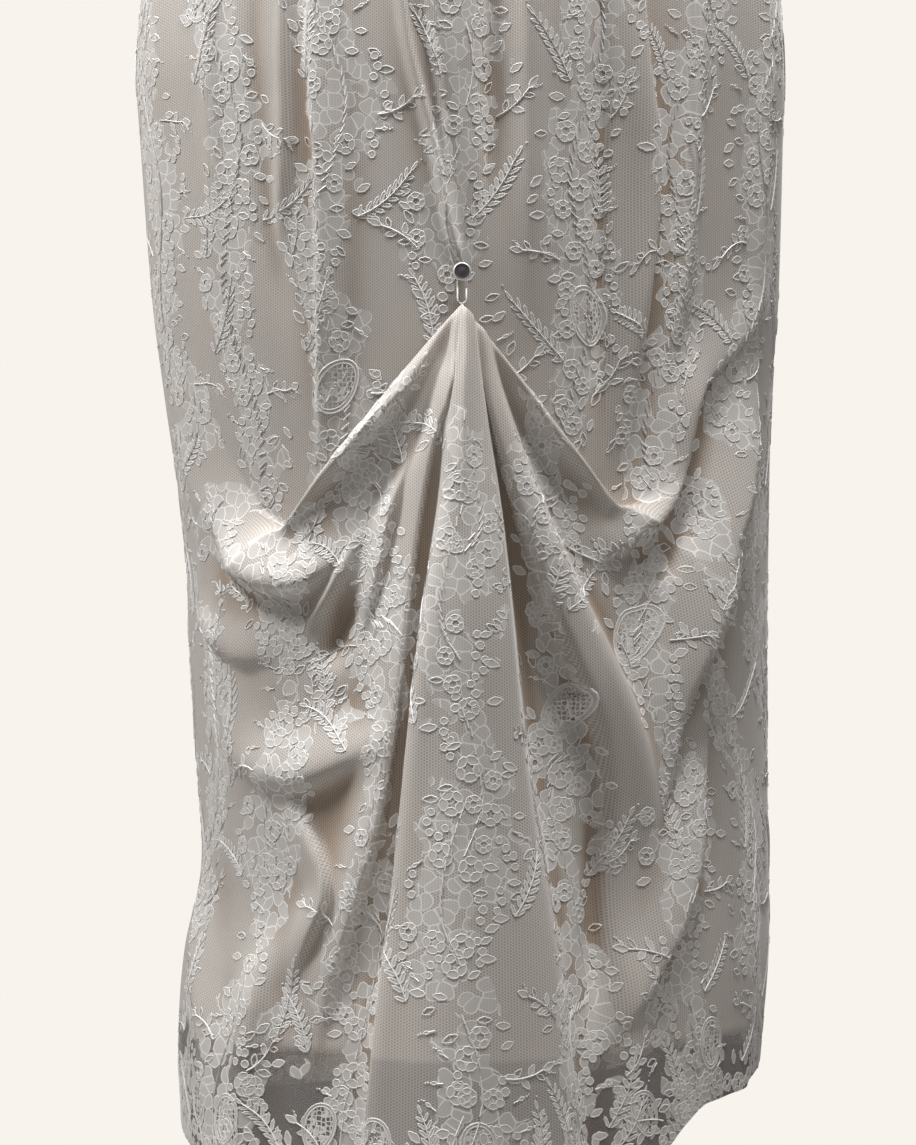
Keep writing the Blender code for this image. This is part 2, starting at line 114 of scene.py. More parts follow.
class Nodes:
    """The node tree of one material, filled through a single method."""

    def __init__(self, name: str) -> None:
        """Starts a material of the given name, with its Principled shader."""
        self.material = bpy.data.materials.new(name)
        self.material.use_nodes = True
        self.tree = self.material.node_tree
        self.shader = self.tree.nodes["Principled BSDF"]

    def add(self, kind: str, settings: dict, inputs: dict, output: "int | str" = 0) -> Expr:
        """Adds a node.

        Args:
            kind: the node's type name.
            settings: its properties, set first.
            inputs: values or expressions by socket name or number.
            output: the socket that is returned.

        Returns:
            The chosen output as an expression.
        """
        node = self.tree.nodes.new(kind)
        for name, value in settings.items():
            setattr(node, name, value)
        for name, value in inputs.items():
            self.feed(node.inputs[name], value)
        return Expr(self, node.outputs[output])

    def feed(self, socket: bpy.types.NodeSocket, value: "float | tuple | Expr") -> None:
        """Links an expression to a socket, or sets the socket's own value."""
        if isinstance(value, Expr):
            self.tree.links.new(value.socket, socket)
        elif isinstance(value, tuple) and len(value) == 3 and socket.type == "RGBA":
            socket.default_value = (*value, 1.0)
        else:
            socket.default_value = value

    def finish(self, **inputs: "float | tuple | Expr") -> bpy.types.Material:
        """Feeds the shader, with its sockets named in snake case, and returns the material."""
        for name, value in inputs.items():
            self.feed(self.shader.inputs[name.replace("_", " ").title().replace("Ior", "IOR")], value)
        return self.material

    def object_place(self) -> Expr:
        """The place of a point in the piece's own coordinates, in metres."""
        return self.add("ShaderNodeTexCoord", {}, {}, "Object")

    def uv_place(self, layout: str = "Cloth") -> Expr:
        """A point's place on the cloth, in metres, from one of the piece's UV maps."""
        return self.add("ShaderNodeUVMap", {"uv_map": layout}, {})

    def parts(self, place: Expr) -> tuple[Expr, Expr]:
        """The first two parts of a place."""
        node = self.tree.nodes.new("ShaderNodeSeparateXYZ")
        self.feed(node.inputs[0], place)
        return Expr(self, node.outputs[0]), Expr(self, node.outputs[1])

    def noise(self, size: float, detail: float) -> Expr:
        """Soft noise whose blots are about the given size in metres."""
        return self.add("ShaderNodeTexNoise", {},
                        {"Vector": self.object_place(), "Scale": 1 / size, "Detail": detail})

    def painted(self, name: str) -> Expr:
        """A value that the piece's corners carry."""
        return self.add("ShaderNodeAttribute", {"attribute_name": name}, {}, "Fac")

    def flat_noise(self, place: Expr, size: float, detail: float = 1.0, output: int = 0) -> Expr:
        """Soft noise over a flat layout, as a value, or as a colour with output 1."""
        return self.add("ShaderNodeTexNoise", {"noise_dimensions": "2D"},
                        {"Vector": place, "Scale": 1 / size, "Detail": detail}, output)

    def mix(self, share: "float | Expr", low: "tuple | Expr", high: "tuple | Expr") -> Expr:
        """A colour between two."""
        return self.add("ShaderNodeMix", {"data_type": "RGBA"}, {0: share, 6: low, 7: high}, 2)

    def bump(self, height: Expr, distance: float, strength: float = 1.0) -> Expr:
        """A bumped normal."""
        return self.add("ShaderNodeBump", {}, {"Height": height, "Distance": distance, "Strength": strength})


@dataclass(frozen=True)
class Garland:
    """How the lace's garlands run down the cloth, in metres."""

    spacing: float = 98 * MM
    wave: float = 190 * MM
    sway: float = 13 * MM
    shift: float = 0.13
    reach: float = 24 * MM

    def phase(self, number: int) -> float:
        """Where a garland's wave starts."""
        return 0.5 * (number % 2) + self.shift * number

    def middle(self, number: int, down: float) -> float:
        """How far across the cloth a garland's middle lies at a distance down it."""
        mirror = 1 if number % 2 else -1
        turn = 2 * math.pi * (down / self.wave + self.phase(number))
        return number * self.spacing + mirror * self.sway * math.sin(turn)

    def away(self, across: Expr, down: Expr) -> Expr:
        """The same line as an expression: how far a place lies from the nearest garland's middle."""
        number = (across / self.spacing).rounded()
        odd = number.remainder(2.0)
        start = odd * 0.5 + number * self.shift - 0.25
        turn = (down / self.wave + start) * (2 * math.pi)
        return abs(across - number * self.spacing - (odd * 2 - 1) * turn.cosine() * self.sway)


@dataclass(frozen=True)
class NetFinish:
    """Fine net with small hexagonal holes, worked with rounded petals along the garlands, and with painted shade: a
    darker brown in the valleys between its folds.
    """

    name: str = "fine_net"
    garland: Garland = Garland()
    net_colour: tuple = (0.69, 0.645, 0.60)
    # The darker brown painted into the valleys as shade, how much of it, and where it fades out at the sides and near
    # the pick-up point
    painted_valley_shade: tuple = (0.46, 0.36, 0.275)
    painted_shade_share: float = 0.9
    painted_shade_side: tuple = (190 * MM, 230 * MM)
    painted_shade_clear: tuple = (40 * MM, 130 * MM)
    work_colour: tuple = (0.70, 0.67, 0.635)
    cord_colour: tuple = (0.92, 0.90, 0.88)
    pitch: float = 1.9 * MM
    hole_start: float = -0.9
    hole_end: float = 0.0
    least: float = 0.64
    sheer: float = 0.34
    sheer_from: float = -1376 * MM
    sheer_soft: float = 14 * MM
    fan_veil: float = 0.75
    fan_side: tuple = (62 * MM, 90 * MM)
    plain_place: tuple = (0.0, -925 * MM)
    plain_reach: float = 52 * MM
    petal: float = 9.5 * MM
    petal_reach: float = 0.56
    bend: float = 5 * MM
    petal_soft: float = 0.02
    petal_rim: tuple = (0.09, 0.05)
    petal_gap: tuple = (0.03, 0.06)
    work_alpha: float = 0.86
    blot: float = 32 * MM
    blot_sway: float = 64 * MM
    blot_clear: float = 70 * MM
    bend_blot: float = 12 * MM

    def material(self) -> bpy.types.Material:
        """Makes the net."""
        nodes = Nodes(self.name)
        across, down = nodes.parts(nodes.uv_place())
        even = nodes.uv_place("Even")
        even_across, height = nodes.parts(even)
        wave = 2 * math.pi / (self.pitch * math.sqrt(3) / 2)
        x, y = even_across * wave, height * (wave * math.sqrt(3) / 2)
        lattice = x.cosine() + (x * -0.5 + y).cosine() + (x * -0.5 - y).cosine()
        aside = abs(even_across).smooth(*self.fan_side, self.fan_veil, self.sheer)
        veil = height.smooth(self.sheer_from - self.sheer_soft, self.sheer_from).greater(aside)
        thread = lattice.smooth(self.hole_start, self.hole_end, 1.0, 0.0)
        blots = nodes.flat_noise(even, self.blot, 2.0)
        away = self.garland.away(across, -down) + (blots - 0.5) * self.blot_sway
        worked = away.smooth(self.garland.reach - 1 * MM, self.garland.reach, 1.0, 0.0)
        from_pick_up = nodes.add("ShaderNodeVectorMath", {"operation": "DISTANCE"},
                                 {0: even, 1: (*self.plain_place, 0.0)}, "Value")
        worked = worked * (from_pick_up + (blots - 0.5) * self.blot_clear).above(self.plain_reach)
        bent = nodes.flat_noise(even, self.bend_blot, 0.0, 1)
        place = nodes.add("ShaderNodeVectorMath", {"operation": "MULTIPLY_ADD"},
                          {0: bent, 1: (self.bend, self.bend, 0.0), 2: even})
        cells = {"Vector": place, "Scale": 1 / self.petal, "Randomness": 0.9}
        edge = nodes.add("ShaderNodeTexVoronoi", {"feature": "DISTANCE_TO_EDGE", "voronoi_dimensions": "2D"}, cells)
        reach = nodes.add("ShaderNodeTexVoronoi", {"feature": "F1", "voronoi_dimensions": "2D"}, cells)
        inside = reach.smooth(self.petal_reach, self.petal_reach + self.petal_soft, 1.0, 0.0)
        rim = reach.smooth(*(self.petal_reach - part for part in self.petal_rim)) * inside
        cord = rim.greater(edge.smooth(*self.petal_gap, 1.0, 0.0) * inside) * worked
        filled = inside * worked
        cover = cord.greater((filled * self.work_alpha).greater((thread + (1 - thread) * self.least) * veil))
        # Painted shade: the net turns a darker brown where it lies in a valley between folds, less so towards the
        # sides and near the pick-up point.
        valley = nodes.painted("ValleyShade") * abs(even_across).smooth(*self.painted_shade_side, self.painted_shade_share, 0.0)
        valley = valley * from_pick_up.smooth(*self.painted_shade_clear, 0.25, 1.0)
        shade = nodes.mix(valley, self.net_colour, self.painted_valley_shade)
        shade = nodes.mix(filled, shade, self.work_colour)
        shade = nodes.mix(cord, shade, self.cord_colour)
        made = nodes.finish(base_color=shade, roughness=0.7, alpha=cover)
        nodes.shader.inputs["Sheen Weight"].default_value = 0.45
        nodes.shader.inputs["Sheen Roughness"].default_value = 0.35
        return made


@dataclass(frozen=True)
class WorkedFinish:
    """Worked thread, such as the lace's filling and its cord, with soft darker blots."""

    name: str
    colour: tuple
    blot: float
    dark: float
    roughness: float

    def material(self) -> bpy.types.Material:
        """Makes the thread's finish."""
        nodes = Nodes(self.name)
        shade = nodes.mix(nodes.noise(self.blot, 1.0), self.colour, tuple(self.dark * c for c in self.colour))
        return nodes.finish(base_color=shade, roughness=self.roughness)


@dataclass(frozen=True)
class CoarseNetFinish:
    """The open net inside the lace's rings."""

    name: str = "coarse_net"
    colour: tuple = (0.86, 0.83, 0.80)
    pitch: float = 3.1 * MM
    thread: tuple = (0.09, 0.17)

    def material(self) -> bpy.types.Material:
        """Makes the open net, on the piece's own coordinates."""
        nodes = Nodes(self.name)
        cells = nodes.add("ShaderNodeTexVoronoi", {"feature": "DISTANCE_TO_EDGE"},
                          {"Vector": nodes.object_place(), "Scale": 1 / self.pitch, "Randomness": 0.45})
        thread = cells.smooth(*self.thread, 1.0, 0.0)
        return nodes.finish(base_color=self.colour, roughness=0.6, alpha=thread)


@dataclass(frozen=True)
class SatinFinish:
    """Smooth lining or button satin, with its seams as darker lines at the given places across."""

    name: str
    colour: tuple
    roughness: float = 0.42
    seams: tuple = ()
    seam_width: float = 7 * MM
    seam_colour: tuple = (0.20, 0.145, 0.10)

    def material(self) -> bpy.types.Material:
        """Makes the satin."""
        nodes = Nodes(self.name)
        shade = nodes.mix(nodes.noise(45 * MM, 4.0), self.colour, tuple(0.84 * c for c in self.colour))
        weave = nodes.noise(0.6 * MM, 1.0)
        if self.seams:
            across, down = nodes.parts(nodes.uv_place())
            wobble = nodes.noise(30 * MM, 2.0) * (3 * MM)
            mask: Optional[Expr] = None
            for seam in self.seams:
                away = (across + wobble - seam).greater(seam - across - wobble)
                line = away.smooth(self.seam_width * 0.35, self.seam_width, 0.75, 0.0)
                mask = line if mask is None else mask.greater(line)
            rungs = (down * (2 * math.pi / (2.6 * MM))).cosine().smooth(-0.3, 0.4, 0.55, 1.0)
            shade = nodes.mix(mask * rungs, shade, self.seam_colour)
        made = nodes.finish(base_color=shade, roughness=self.roughness, normal=nodes.bump(weave, 0.1 * MM, 0.35))
        nodes.shader.inputs["Sheen Weight"].default_value = 0.15
        return made


@dataclass(frozen=True)
class MetalFinish:
    """Dark polished metal with a coat, its rim a painted highlight in a pale colour."""

    seat: tuple
    name: str = "button_metal"
    colour: tuple = (0.095, 0.092, 0.095)
    highlight_rim_colour: tuple = (0.86, 0.84, 0.81)
    rim: float = 5.0 * MM

    def material(self) -> bpy.types.Material:
        """Makes the metal."""
        nodes = Nodes(self.name)
        scuffs = nodes.noise(1.2 * MM, 5.0)
        flat = nodes.add("ShaderNodeVectorMath", {"operation": "MULTIPLY"},
                         {0: nodes.object_place(), 1: (1.0, 0.0, 1.0)})
        out = nodes.add("ShaderNodeVectorMath", {"operation": "DISTANCE"},
                        {0: flat, 1: (self.seat[0], 0.0, self.seat[2])}, "Value")
        face = nodes.mix(scuffs, self.colour, tuple(1.6 * c for c in self.colour))
        # The ring outside the face is painted pale as a painted highlight.
        return nodes.finish(
            base_color=nodes.mix(out.smooth(self.rim - 0.2 * MM, self.rim + 0.1 * MM), face, self.highlight_rim_colour),
            roughness=scuffs.smooth(0.3, 0.75, 0.38, 0.55),
            metallic=0.35,
            coat_weight=0.15,
            normal=nodes.bump(scuffs, 0.05 * MM, 0.3),
        )


@dataclass(frozen=True)
class ThreadFinish:
    """Twisted white thread."""

    name: str = "loop_thread"
    colour: tuple = (0.88, 0.86, 0.83)

    def material(self) -> bpy.types.Material:
        """Makes the thread."""
        nodes = Nodes(self.name)
        twist = nodes.add("ShaderNodeTexWave", {"bands_direction": "DIAGONAL"},
                          {"Vector": nodes.object_place(), "Scale": 320.0, "Distortion": 1.5, "Detail": 1.0}, 1)
        shade = nodes.mix(twist, tuple(0.7 * c for c in self.colour), self.colour)
        return nodes.finish(base_color=shade, roughness=0.6, normal=nodes.bump(twist, 0.2 * MM, 0.8))


# The figure's form and the folds of the cloth

@dataclass(frozen=True)
class Ring:
    """One level of the figure's form, in millimetres."""

    height: float
    left: float
    right: float
    back: float
    front: float


@dataclass(frozen=True)
class Fold:
    """A raised fold of cloth, or a hollow where the height is negative.

    The path lists angle and height below the shoulders in millimetres, from the top of the fold to its
    foot. The widths on the left and right of the path are in millimetres at its top and at its foot. Lean
    tips the crest over to the path's right, and spread widens it to both sides, in millimetres.
    """

    name: str
    path: tuple
    height: float
    left: tuple
    right: tuple
    start: float = 0.0
    end: float = 0.0
    flat: float = 2.0
    lean: float = 0.0
    spread: float = 0.0


FORM = tuple(Ring(*row) for row in (
    (0, 152, 152, 0, 0), (-0.6, 152, 152, 10, 10), (-7, 154, 154, 27, 27), (-22, 158, 158, 46, 47),
    (-50, 162, 162, 66, 68), (-90, 165, 165, 86, 90), (-135, 166, 166, 102, 108), (-185, 165, 165, 110, 116),
    (-240, 158, 158, 109, 112), (-300, 148, 148, 104, 106), (-360, 140, 140, 102, 103), (-420, 138, 138, 104, 104),
    (-470, 160, 160, 122, 112), (-530, 186, 186, 140, 124), (-600, 211, 211, 152, 135), (-660, 225, 224, 157, 142),
    (-720, 230, 228, 158, 146), (-774, 227, 227, 157, 148), (-880, 219, 224, 155, 149), (-951, 210, 219, 153, 149),
    (-1051, 196, 217, 150, 149), (-1122, 193, 216, 150, 150), (-1200, 188, 216, 152, 152), (-1278, 184, 217, 156, 155),
    (-1340, 196, 217, 160, 158), (-1400, 200, 212, 163, 161), (-1480, 197, 203, 166, 164),
))

# The form's level at the waist, the steps between its levels, and its mean radii
WAIST_LEVEL = 11
FORM_STEP = 20
FORM_RADIUS = 210 * MM
EVEN_RADIUS = 190 * MM

# How far the right of the hem is drawn up, and the angles where that begins and ends
HEM_RISE = 44 * MM
HEM_RISE_START, HEM_RISE_END = 26.0, 47.0
HEM_FALL_START, HEM_FALL_END = 105.0, 165.0


def smooth_step(value: np.ndarray) -> np.ndarray:
    """0 below 0, 1 above 1 and a smooth rise between."""
    share = np.clip(value, 0, 1)
    return share * share * (3 - 2 * share)


def curve_through(points: Sequence, count: int) -> np.ndarray:
    """Points on a smooth curve.

    Args:
        points: the points that the curve passes through.
        count: how many points to return, evenly spread in parameter.

    Returns:
        The points as an array, a row each.
    """
    given = np.array(points, float)
    ends = np.vstack([2 * given[0] - given[1], given, 2 * given[-1] - given[-2]])
    place = np.linspace(0, len(given) - 1, count)
    at = np.minimum(place.astype(int), len(given) - 2)
    t = (place - at)[:, None]
    a, b, c, d = (ends[at + k] for k in range(4))
    return 0.5 * (2 * b + (c - a) * t + (2 * a - 5 * b + 4 * c - d) * t**2 + (3 * b - a - 3 * c + d) * t**3)


@dataclass
class Figure:
    """The general figure that the dress is cut for, as oval levels from the shoulders to the hem."""

    rings: tuple = FORM
    cup_angle: float = 28.0
    cup_drop: float = -197 * MM
    cup_radius: float = 62 * MM
    cup_height: float = 20 * MM

    def __post_init__(self) -> None:
        """Smooths the levels into one table."""
        rows = [(r.height, r.left, r.right, r.back, r.front) for r in self.rings]
        self.table = curve_through(rows, FORM_STEP * (len(rows) - 1) + 1) * MM
        self.skirt_table = self.table[WAIST_LEVEL * FORM_STEP:][::-1]

    @staticmethod
    def oval(angle: np.ndarray, left: np.ndarray, right: np.ndarray, back: np.ndarray, front: np.ndarray) -> tuple:
        """Points of oval levels and the way out of them, as four arrays."""
        turn = np.radians(angle)
        side = np.where(np.sin(turn) < 0, left, right)
        deep = np.where(np.cos(turn) > 0, back, front)
        out_x, out_y = deep * np.sin(turn), -side * np.cos(turn)
        length = np.maximum(np.hypot(out_x, out_y), 1e-9)
        return side * np.sin(turn), -deep * np.cos(turn), out_x / length, out_y / length

    def skirt(self, angle: np.ndarray, height: np.ndarray, lift: np.ndarray) -> np.ndarray:
        """Points of the skirt at the given angles and heights, lifted off the form."""
        table = self.skirt_table
        left, right, back, front = (np.interp(height, table[:, 0], table[:, k]) for k in range(1, 5))
        x, y, out_x, out_y = self.oval(angle, left, right, back, front)
        return np.stack([x + lift * out_x, y + lift * out_y, height], axis=-1)

    def bodice(self, angle: np.ndarray, level: np.ndarray, lift: float = 0.0) -> np.ndarray:
        """Points of the bodice at the given angles and levels of the table, with the cups raised."""
        steps = np.arange(len(self.table))
        height, left, right, back, front = (np.interp(level * FORM_STEP, steps, self.table[:, k]) for k in range(5))
        x, y, out_x, out_y = self.oval(angle, left, right, back, front)
        from_front = np.where(angle > 0, 180 - angle, -180 - angle)
        aside = np.radians(np.abs(from_front) - self.cup_angle) * FORM_RADIUS * 0.7
        away = np.hypot(aside, height - self.cup_drop)
        lift = lift + self.cup_height * np.exp(-((away / self.cup_radius) ** 2))
        return np.stack([x + lift * out_x, y + lift * out_y, height], axis=-1)


def drawn_up(angle: np.ndarray) -> np.ndarray:
    """How far the hem is drawn up on the right, where the swag pulls it."""
    risen = smooth_step((angle - HEM_RISE_START) / (HEM_RISE_END - HEM_RISE_START))
    return HEM_RISE * risen * smooth_step((HEM_FALL_END - angle) / (HEM_FALL_END - HEM_FALL_START))


def fold_field(folds: Iterable[Fold], angle: np.ndarray, height: np.ndarray) -> np.ndarray:
    """What a set of folds does to the cloth.

    Args:
        folds: the folds.
        angle: angles round the body, in degrees.
        height: heights, in metres.

    Returns:
        How far each point of the cloth is raised, drawn to the right and drawn upwards, in metres.
    """
    across = np.radians(angle) * FORM_RADIUS
    moved = np.zeros((*across.shape, 3))
    for fold in folds:
        path = curve_through(fold.path, 4 * len(fold.path) + 1)
        path = np.stack([np.radians(path[:, 0]) * FORM_RADIUS, path[:, 1] * MM], axis=1)
        best = np.full(across.shape, np.inf)
        share, side = np.zeros_like(across), np.zeros_like(across)
        aside = np.zeros((*across.shape, 2))
        for k, (start, end) in enumerate(zip(path[:-1], path[1:])):
            way = end - start
            from_x, from_z = across - start[0], height - start[1]
            t = np.clip((from_x * way[0] + from_z * way[1]) / way.dot(way), 0, 1)
            away = np.hypot(from_x - t * way[0], from_z - t * way[1])
            nearer = away < best
            best = np.where(nearer, away, best)
            share = np.where(nearer, (k + t) / (len(path) - 1), share)
            side = np.where(nearer, np.sign(way[0] * from_z - way[1] * from_x), side)
            aside = np.where(nearer[..., None], np.array([-way[1], way[0]]) / np.hypot(*way), aside)
        left, right = np.interp(share, (0, 1), fold.left), np.interp(share, (0, 1), fold.right)
        width = np.where(side < 0, left, right) * MM
        rise = fold.start + (1 - fold.start) * smooth_step(share / 0.4)
        fade = fold.end + (1 - fold.end) * smooth_step((1 - share) / 0.4)
        shape = rise * fade * np.exp(-((best / width) ** fold.flat)) * MM
        tip = fold.lean + fold.spread * side * np.minimum(best / width, 1)
        moved[..., 0] += fold.height * shape
        moved[..., 1:] += (tip * shape)[..., None] * aside
    return moved


# Cloth as grids

@dataclass
class ClothGrid:
    """A sheet of cloth as a grid of points, rows from its top to its foot and columns from left to right."""

    points: np.ndarray
    kept: Optional[np.ndarray] = None

    def __post_init__(self) -> None:
        """Works out the normals, and how far each point lies across and down the cloth."""
        across, down = np.gradient(self.points, axis=1), np.gradient(self.points, axis=0)
        normal = np.cross(across, -down)
        self.normals = normal / np.maximum(np.linalg.norm(normal, axis=-1, keepdims=True), 1e-12)
        step = np.linalg.norm(np.diff(self.points, axis=1), axis=-1)
        run = np.concatenate([np.zeros((len(step), 1)), np.cumsum(step, axis=1)], axis=1)
        middle = self.points.shape[1] // 2
        self.across = run - run[:, middle:middle + 1]
        drop = np.linalg.norm(np.diff(self.points, axis=0), axis=-1)
        self.down = np.concatenate([np.zeros((1, drop.shape[1])), np.cumsum(drop, axis=0)], axis=0)

    @property
    def area(self) -> float:
        """Area of the cloth in square metres."""
        across, down = np.diff(self.points, axis=1)[:-1], np.diff(self.points, axis=0)[:, :-1]
        cells = np.linalg.norm(np.cross(across, down), axis=-1)
        return float(cells.sum() if self.kept is None else cells[self.kept].sum())

    def sample(self, values: np.ndarray, row: np.ndarray, column: np.ndarray) -> np.ndarray:
        """Values of the grid between its points."""
        rows, columns = self.points.shape[:2]
        row, column = np.clip(row, 0, rows - 1.001), np.clip(column, 0, columns - 1.001)
        i, j = row.astype(int), column.astype(int)
        f, g = (row - i)[..., None], (column - j)[..., None]
        top = values[i, j] * (1 - g) + values[i, j + 1] * g
        foot = values[i + 1, j] * (1 - g) + values[i + 1, j + 1] * g
        return top * (1 - f) + foot * f

    def valleys(self, reach: int = 9, depth: float = 3.5 * MM) -> np.ndarray:
        """How deep each point lies in a valley between folds.

        Args:
            reach: how many points to each side of it are compared.
            depth: the depth in metres that counts as 1.

        Returns:
            Values from 0 on the level and on folds to 1 in the deepest valleys.
        """
        wide = np.pad(self.points, ((reach, reach), (reach, reach), (0, 0)), mode="edge")
        for axis in (0, 1):
            run = np.cumsum(wide, axis=axis)
            size = 2 * reach + 1
            wide = (np.take(run, range(size - 1, run.shape[axis]), axis=axis)
                    - np.insert(np.take(run, range(run.shape[axis] - size), axis=axis), 0, 0, axis=axis)) / size
        below = ((wide - self.points) * self.normals).sum(-1)
        return np.clip(below / depth, 0, 1)

    def locate(self, across: float, down: float, from_foot: bool = False) -> tuple[float, float]:
        """Finds a place on the cloth.

        Args:
            across: metres from the middle column, along the row.
            down: metres below the top, along the column, or above the foot.
            from_foot: whether down counts up from the foot.

        Returns:
            Its row and column, with fractions.
        """
        rows, columns = self.points.shape[:2]
        column, row = columns / 2, rows / 2
        for _ in range(6):
            j = int(round(min(max(column, 0), columns - 1)))
            goal = self.down[-1, j] - down if from_foot else down
            row = float(np.interp(goal, self.down[:, j], np.arange(rows), left=-9, right=rows + 9))
            i = int(round(min(max(row, 0), rows - 1)))
            column = float(np.interp(across, self.across[i], np.arange(columns), left=-9, right=columns + 9))
        return row, column

    def piece(self, name: str, finish: bpy.types.Material, wall: float = 0.0) -> bpy.types.Object:
        """Makes the sheet as an object.

        Args:
            name: the piece's name.
            finish: its material.
            wall: its thickness in metres, or 0 for a single layer.

        Returns:
            The object, with UV maps in metres: Cloth along the sheet, and Even round the body.
        """
        rows, columns = self.points.shape[0] - 1, self.points.shape[1] - 1
        shape = bmesh.new()
        bmesh.ops.create_grid(shape, x_segments=columns, y_segments=rows, size=1)
        mesh = mesh_of(shape, name)
        flat = np.empty(3 * len(mesh.vertices), np.float32)
        mesh.vertices.foreach_get("co", flat)
        flat = flat.reshape(-1, 3)
        row = np.rint((1 - flat[:, 1]) / 2 * rows).astype(int)
        column = np.rint((flat[:, 0] + 1) / 2 * columns).astype(int)
        mesh.vertices.foreach_set("co", self.points[row, column].astype(np.float32).ravel())
        corner = np.empty(len(mesh.loops), np.int32)
        mesh.loops.foreach_get("vertex_index", corner)
        turn = np.unwrap(np.arctan2(self.points[..., 0], -self.points[..., 1]), axis=1)
        for layout, across, up in (("Cloth", self.across, -self.down),
                                   ("Even", turn * EVEN_RADIUS, self.points[..., 2])):
            place = np.stack([across[row, column], up[row, column]], axis=1)[corner]
            mesh.uv_layers.new(name=layout).data.foreach_set("uv", place.astype(np.float32).ravel())
        # Each point carries how deep it lies in a valley, which the net uses for its painted shade.
        valley = self.valleys()[row, column].astype(np.float32)
        mesh.attributes.new("ValleyShade", "FLOAT", "POINT").data.foreach_set("value", valley)
        if self.kept is not None:
            self._cut(mesh, row, column)
        mesh.materials.append(finish)
        mesh.shade_smooth()
        mesh.update()
        made = hang(name, mesh)
        if wall:
            solid = made.modifiers.new("Wall", "SOLIDIFY")
            solid.thickness = wall
            solid.offset = 0
        return made

    def _cut(self, mesh: bpy.types.Mesh, row: np.ndarray, column: np.ndarray) -> None:
        """Removes the cells of the mesh that aren't kept."""
        shape = bmesh.new()
        shape.from_mesh(mesh)
        shape.faces.ensure_lookup_table()
        spare = []
        for face in shape.faces:
            at = [corner.index for corner in face.verts]
            if not self.kept[row[at].min(), column[at].min()]:
                spare.append(face)
        bmesh.ops.delete(shape, geom=spare, context="FACES")
        shape.to_mesh(mesh)
        shape.free()


def hang(name: str, data: bpy.types.ID) -> bpy.types.Object:
    """Puts a mesh, a lamp or a camera into the scene as an object."""
    made = bpy.data.objects.new(name, data)
    bpy.context.scene.collection.objects.link(made)
    return made


def mesh_of(shape: bmesh.types.BMesh, name: str) -> bpy.types.Mesh:
    """Turns a bmesh into a new mesh, and frees it."""
    mesh = bpy.data.meshes.new(name)
    shape.to_mesh(mesh)
    shape.free()
    return mesh


def declare(piece: bpy.types.Object, slot: str, *nodes: str) -> bpy.types.Object:
    """Fixes a piece to the body, hides the nodes that it stands for and logs its faces."""
    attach(piece, BODY)
    if nodes:
        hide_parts(*nodes)
    LOG.info("%s: %d faces", piece.name, len(piece.data.polygons))
    return piece


@dataclass
class Panel:
    """One sheet of the dress, cut flat in metres, with its piece's name, its slot and its node."""

    figure: "Figure"
    node: str
    piece: str
    slot: str
    flat: tuple
    held: str = "hung"
    rests_on: tuple = ()
    wall: float = 0.0
    seam_gap: float = 0.3 * MM

    def grid(self) -> ClothGrid:
        """Lays out the panel."""
        raise NotImplementedError

    def dress(self, finish: bpy.types.Material) -> ClothGrid:
        """Builds the panel in a finish, and returns its grid for the lace."""
        grid = self.grid()
        piece = declare(grid.piece(self.piece, finish, self.wall), self.slot, self.node)
        return grid


